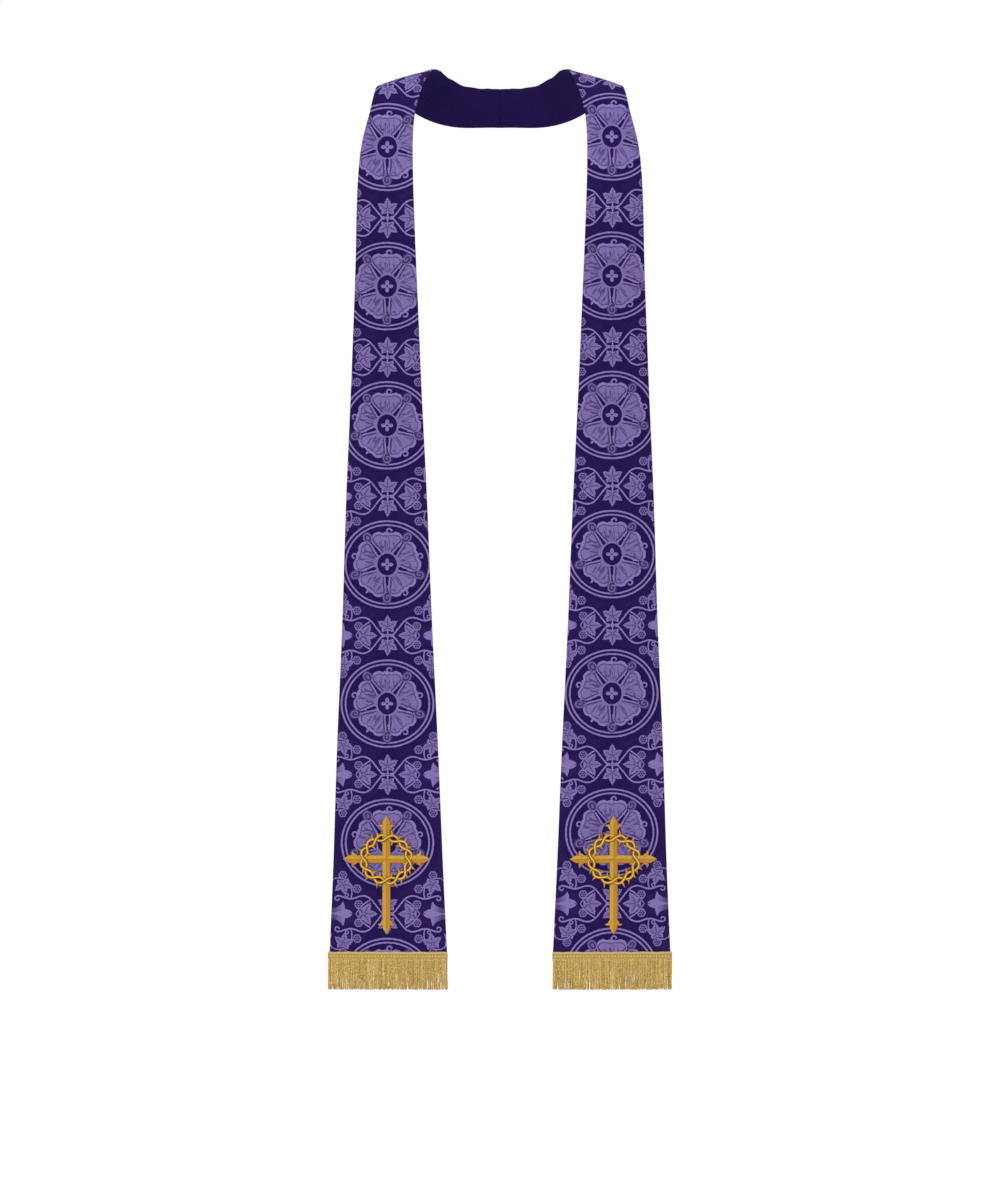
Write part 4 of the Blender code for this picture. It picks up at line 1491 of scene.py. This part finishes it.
def thorns_tree():
    """Sets a sharp thorn on every point, along its aim."""
    tree, source, finish = growth_tree("crown_thorns", ("Breadth",))
    cone = linked(
        tree, "GeometryNodeMeshCone", Vertices=6, Side_Segments=3, Radius_Top=0.04,
        Radius_Bottom=1.0, Depth=1.0,
    )
    toned = stored(tree, cone.outputs[0], "stitch", "FLOAT_VECTOR", (0.0, 0.45, 0.42))
    breadth = Number(source.outputs["Breadth"])
    reach = Number(carried(tree, "reach", "FLOAT"))
    solid = sown(tree, source, toned, aimed(tree), joined(tree, breadth, breadth, reach))
    tree.links.new(solid, finish.inputs["Geometry"])
    return tree


def stitches_tree():
    """Lays a short thick stitch on every point, along its aim."""
    tree, source, finish = growth_tree("heading_stitches", ("Breadth", "Reach"))
    bead = linked(tree, "GeometryNodeMeshUVSphere", Segments=8, Rings=5, Radius=1.0)
    breadth = Number(source.outputs["Breadth"])
    reach = Number(source.outputs["Reach"])
    solid = sown(tree, source, bead.outputs[0], aimed(tree), joined(tree, breadth, breadth, reach))
    lit = stored(tree, solid, "shade", "FLOAT", 1.5)
    tree.links.new(lit, finish.inputs["Geometry"])
    return tree


def grown(name, points, tree, finish, **values):
    """The plain piece that a tree grows on a mesh of points."""
    made = linked_object(name, points)
    growth = made.modifiers.new("growth", "NODES")
    growth.node_group = tree
    given = {"Material": finish, **values}
    for item in tree.interface.items_tree:
        if item.in_out == "INPUT" and item.name in given:
            growth[item.identifier] = given[item.name]
    bpy.context.view_layer.update()
    evaluated = made.evaluated_get(bpy.context.evaluated_depsgraph_get())
    mesh = bpy.data.meshes.new_from_object(evaluated)
    made.modifiers.remove(growth)
    made.data = mesh
    mesh.name = name
    if not mesh.polygons:
        raise RuntimeError(f"{name} came out empty")
    return made


def mount(piece, node):
    """Rides a finished piece on the stole in place of a node of the frame."""
    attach(piece, "root")
    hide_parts(node)


# Operators


class STOLE_OT_cloth(bpy.types.Operator):
    """Makes the two brocade halves"""

    bl_idname = "stole.cloth"
    bl_label = "Brocade halves"

    def execute(self, context):
        settings = context.scene.stole_cloth
        finish = brocade_material(settings, bpy.data.node_groups["fine_threads"])
        for word, side in SIDES:
            name = f"stole_{word}"
            piece = new_piece(name, cloth_half_mesh(name, side, settings), finish)
            mount(piece, f"half_{word}")
        return {"FINISHED"}


class STOLE_OT_emblems(bpy.types.Operator):
    """Makes the embroidered crosses and their crowns of thorns"""

    bl_idname = "stole.emblems"
    bl_label = "Crosses and crowns"

    def execute(self, context):
        settings = context.scene.stole_emblem
        finish = gold_thread_material(settings, bpy.data.node_groups["fine_threads"])
        edge = settings.edge_height * MM
        ridge = settings.ridge_height * MM
        tree = thorns_tree()
        for word, side in SIDES:
            cross = Stitching(side)
            stitch_bars(cross, roof_profile(edge, ridge))
            stitch_curls(cross, roof_profile(edge * 0.8, ridge * 0.62))
            name = f"gold_cross_{word}"
            mount(new_piece(name, cross.mesh(name), finish), f"cross_{word}")
            crown = Stitching(side)
            stitch_crown(crown, settings.rod_radius * MM)
            name = f"crown_{word}"
            mount(new_piece(name, crown.mesh(name), finish), f"cross_{word}")
            name = f"thorns_{word}"
            thorns = grown(name, thorn_points(name, side), tree, finish, Breadth=0.00190)
            mount(thorns, f"cross_{word}")
        return {"FINISHED"}


class STOLE_OT_fringes(bpy.types.Operator):
    """Makes the fringes: woven heading, small stitches and twisted strands"""

    bl_idname = "stole.fringes"
    bl_label = "Fringes"

    def execute(self, context):
        settings = context.scene.stole_fringe
        threads = bpy.data.node_groups["fine_threads"]
        fringe = gold_fringe_material(settings, threads)
        heading = gold_heading_material(settings, threads)
        hanging = strands_tree()
        sewing = stitches_tree()
        for word, side in SIDES:
            name = f"fringe_heading_{word}"
            strip = new_piece(name, heading_mesh(name, side), heading)
            name = f"fringe_stitches_{word}"
            stitches = grown(
                name, stitch_points(name, side), sewing, fringe, Breadth=0.00065, Reach=0.00085)
            name = f"fringe_strands_{word}"
            strands = grown(
                name, strand_points(name, side, settings), hanging, fringe,
                Radius=settings.strand_radius, Twist=7.5, Waver=0.00022,
            )
            for piece in (strip, stitches, strands):
                mount(piece, f"fringe_{word}")
        return {"FINISHED"}


class STOLE_OT_stage(bpy.types.Operator):
    """Sets the camera, the lights and the floor"""

    bl_idname = "stole.stage"
    bl_label = "Stage"

    def execute(self, context):
        settings = context.scene.stole_stage
        set_camera(settings)
        set_lamps(settings)
        set_surround(settings)
        set_floor(settings)
        context.scene.view_settings.view_transform = "Standard"
        return {"FINISHED"}


def set_camera(settings):
    """The camera level with the middle of the picture, far off as for a flat photograph."""
    lens = bpy.data.cameras.new("camera")
    lens.sensor_width = 36.0
    lens.lens = lens.sensor_width * settings.camera_distance / settings.view_height
    lens.clip_end = 120.0
    made = linked_object("camera", lens)
    made.location = (0.0, FRONT_Y - settings.camera_distance, settings.view_centre_z)
    made.rotation_euler = (math.radians(90), 0.0, 0.0)
    bpy.context.scene.camera = made


LAMP_SIZE = 3.0
FRONT_Y = -0.08
LAMPS = (
    ("lamp_front_left", (-2.6, -4.2, 1.4), 1.00),
    ("lamp_front_right", (3.0, -3.8, 0.6), 0.55),
    ("lamp_back_left", (-2.8, 3.4, 1.2), 0.55),
    ("lamp_back_right", (2.8, 3.6, 1.4), 0.55),
    ("lamp_above", (0.0, -0.2, 3.4), 0.60),
)


def set_lamps(settings):
    """Large soft lamps all round, the strongest in front on the left."""
    middle = Vector((0.0, 0.0, settings.view_centre_z))
    for name, place, share in LAMPS:
        light = bpy.data.lights.new(name, "AREA")
        light.shape = "DISK"
        light.size = LAMP_SIZE
        light.energy = settings.lamp_power * share
        made = linked_object(name, light)
        made.location = place
        made.rotation_euler = (middle - Vector(place)).to_track_quat("-Z", "Y").to_euler()


def set_surround(settings):
    """White behind the stole, and an even light from all round."""
    world = bpy.data.worlds.new("surround")
    bpy.context.scene.world = world
    world.use_nodes = True
    tree = world.node_tree
    shown = tree.nodes["Background"]
    shown.inputs["Color"].default_value = (1.0, 1.0, 1.0, 1.0)
    lighting = tree.nodes.new("ShaderNodeBackground")
    lighting.inputs["Color"].default_value = (1.0, 1.0, 1.0, 1.0)
    lighting.inputs["Strength"].default_value = settings.surround
    path = tree.nodes.new("ShaderNodeLightPath")
    mix = tree.nodes.new("ShaderNodeMixShader")
    tree.links.new(path.outputs["Is Camera Ray"], mix.inputs[0])
    tree.links.new(lighting.outputs[0], mix.inputs[1])
    tree.links.new(shown.outputs[0], mix.inputs[2])
    tree.links.new(mix.outputs[0], tree.nodes["World Output"].inputs["Surface"])


def set_floor(settings):
    """A plain pale floor that fades out into the surround."""
    radius = 1.6
    disc = bmesh.new()
    bmesh.ops.create_circle(disc, cap_ends=True, radius=radius, segments=96)
    bmesh.ops.translate(disc, verts=disc.verts, vec=(0.0, 0.0, settings.floor_z))
    mesh = bpy.data.meshes.new("floor")
    disc.to_mesh(mesh)
    disc.free()
    made, tree, shader = new_material("floor", 0.8, specular=0.1)
    shader.inputs["Base Color"].default_value = (0.95, 0.95, 0.95, 1.0)
    x, y, _ = parted(tree.nodes.new("ShaderNodeTexCoord").outputs["Object"])
    grain = cloudy(joined(tree, x, y), 40.0) * 0.04
    feed(shader.inputs["Roughness"], grain + 0.78)
    feed(shader.inputs["Alpha"], spread(distance(x, y), 0.25, radius * 0.92, 1.0, 0.0))
    new_piece("floor", mesh, made)


class STOLE_PT_panel(bpy.types.Panel):
    """Lists the stole's pieces and their settings"""

    bl_label = "Clerical stole"
    bl_idname = "STOLE_PT_panel"
    bl_space_type = "VIEW_3D"
    bl_region_type = "UI"
    bl_category = "Stole"

    def draw(self, context):
        scene = context.scene
        for operator, group in PIECES:
            box = self.layout.box()
            box.operator(operator)
            settings = getattr(scene, group)
            for name in settings.__annotations__:
                box.prop(settings, name)


PIECES = (
    ("stole.cloth", "stole_cloth"),
    ("stole.emblems", "stole_emblem"),
    ("stole.fringes", "stole_fringe"),
    ("stole.stage", "stole_stage"),
)
GROUPS = {
    "stole_cloth": ClothSettings,
    "stole_emblem": EmblemSettings,
    "stole_fringe": FringeSettings,
    "stole_stage": StageSettings,
}
OPERATORS = (STOLE_OT_cloth, STOLE_OT_emblems, STOLE_OT_fringes, STOLE_OT_stage, STOLE_PT_panel)


def register():
    """Registers the settings, the operators and the panel."""
    for name, group in GROUPS.items():
        bpy.utils.register_class(group)
        setattr(bpy.types.Scene, name, PointerProperty(type=group))
    for operator in OPERATORS:
        bpy.utils.register_class(operator)


def unregister():
    """Takes them away again."""
    for operator in reversed(OPERATORS):
        bpy.utils.unregister_class(operator)
    for name, group in GROUPS.items():
        delattr(bpy.types.Scene, name)
        bpy.utils.unregister_class(group)


def main():
    """Makes every piece in order."""
    register()
    weave_group()
    bpy.ops.stole.stage()
    bpy.ops.stole.cloth()
    bpy.ops.stole.emblems()
    bpy.ops.stole.fringes()


if __name__ == "__main__":
    main()
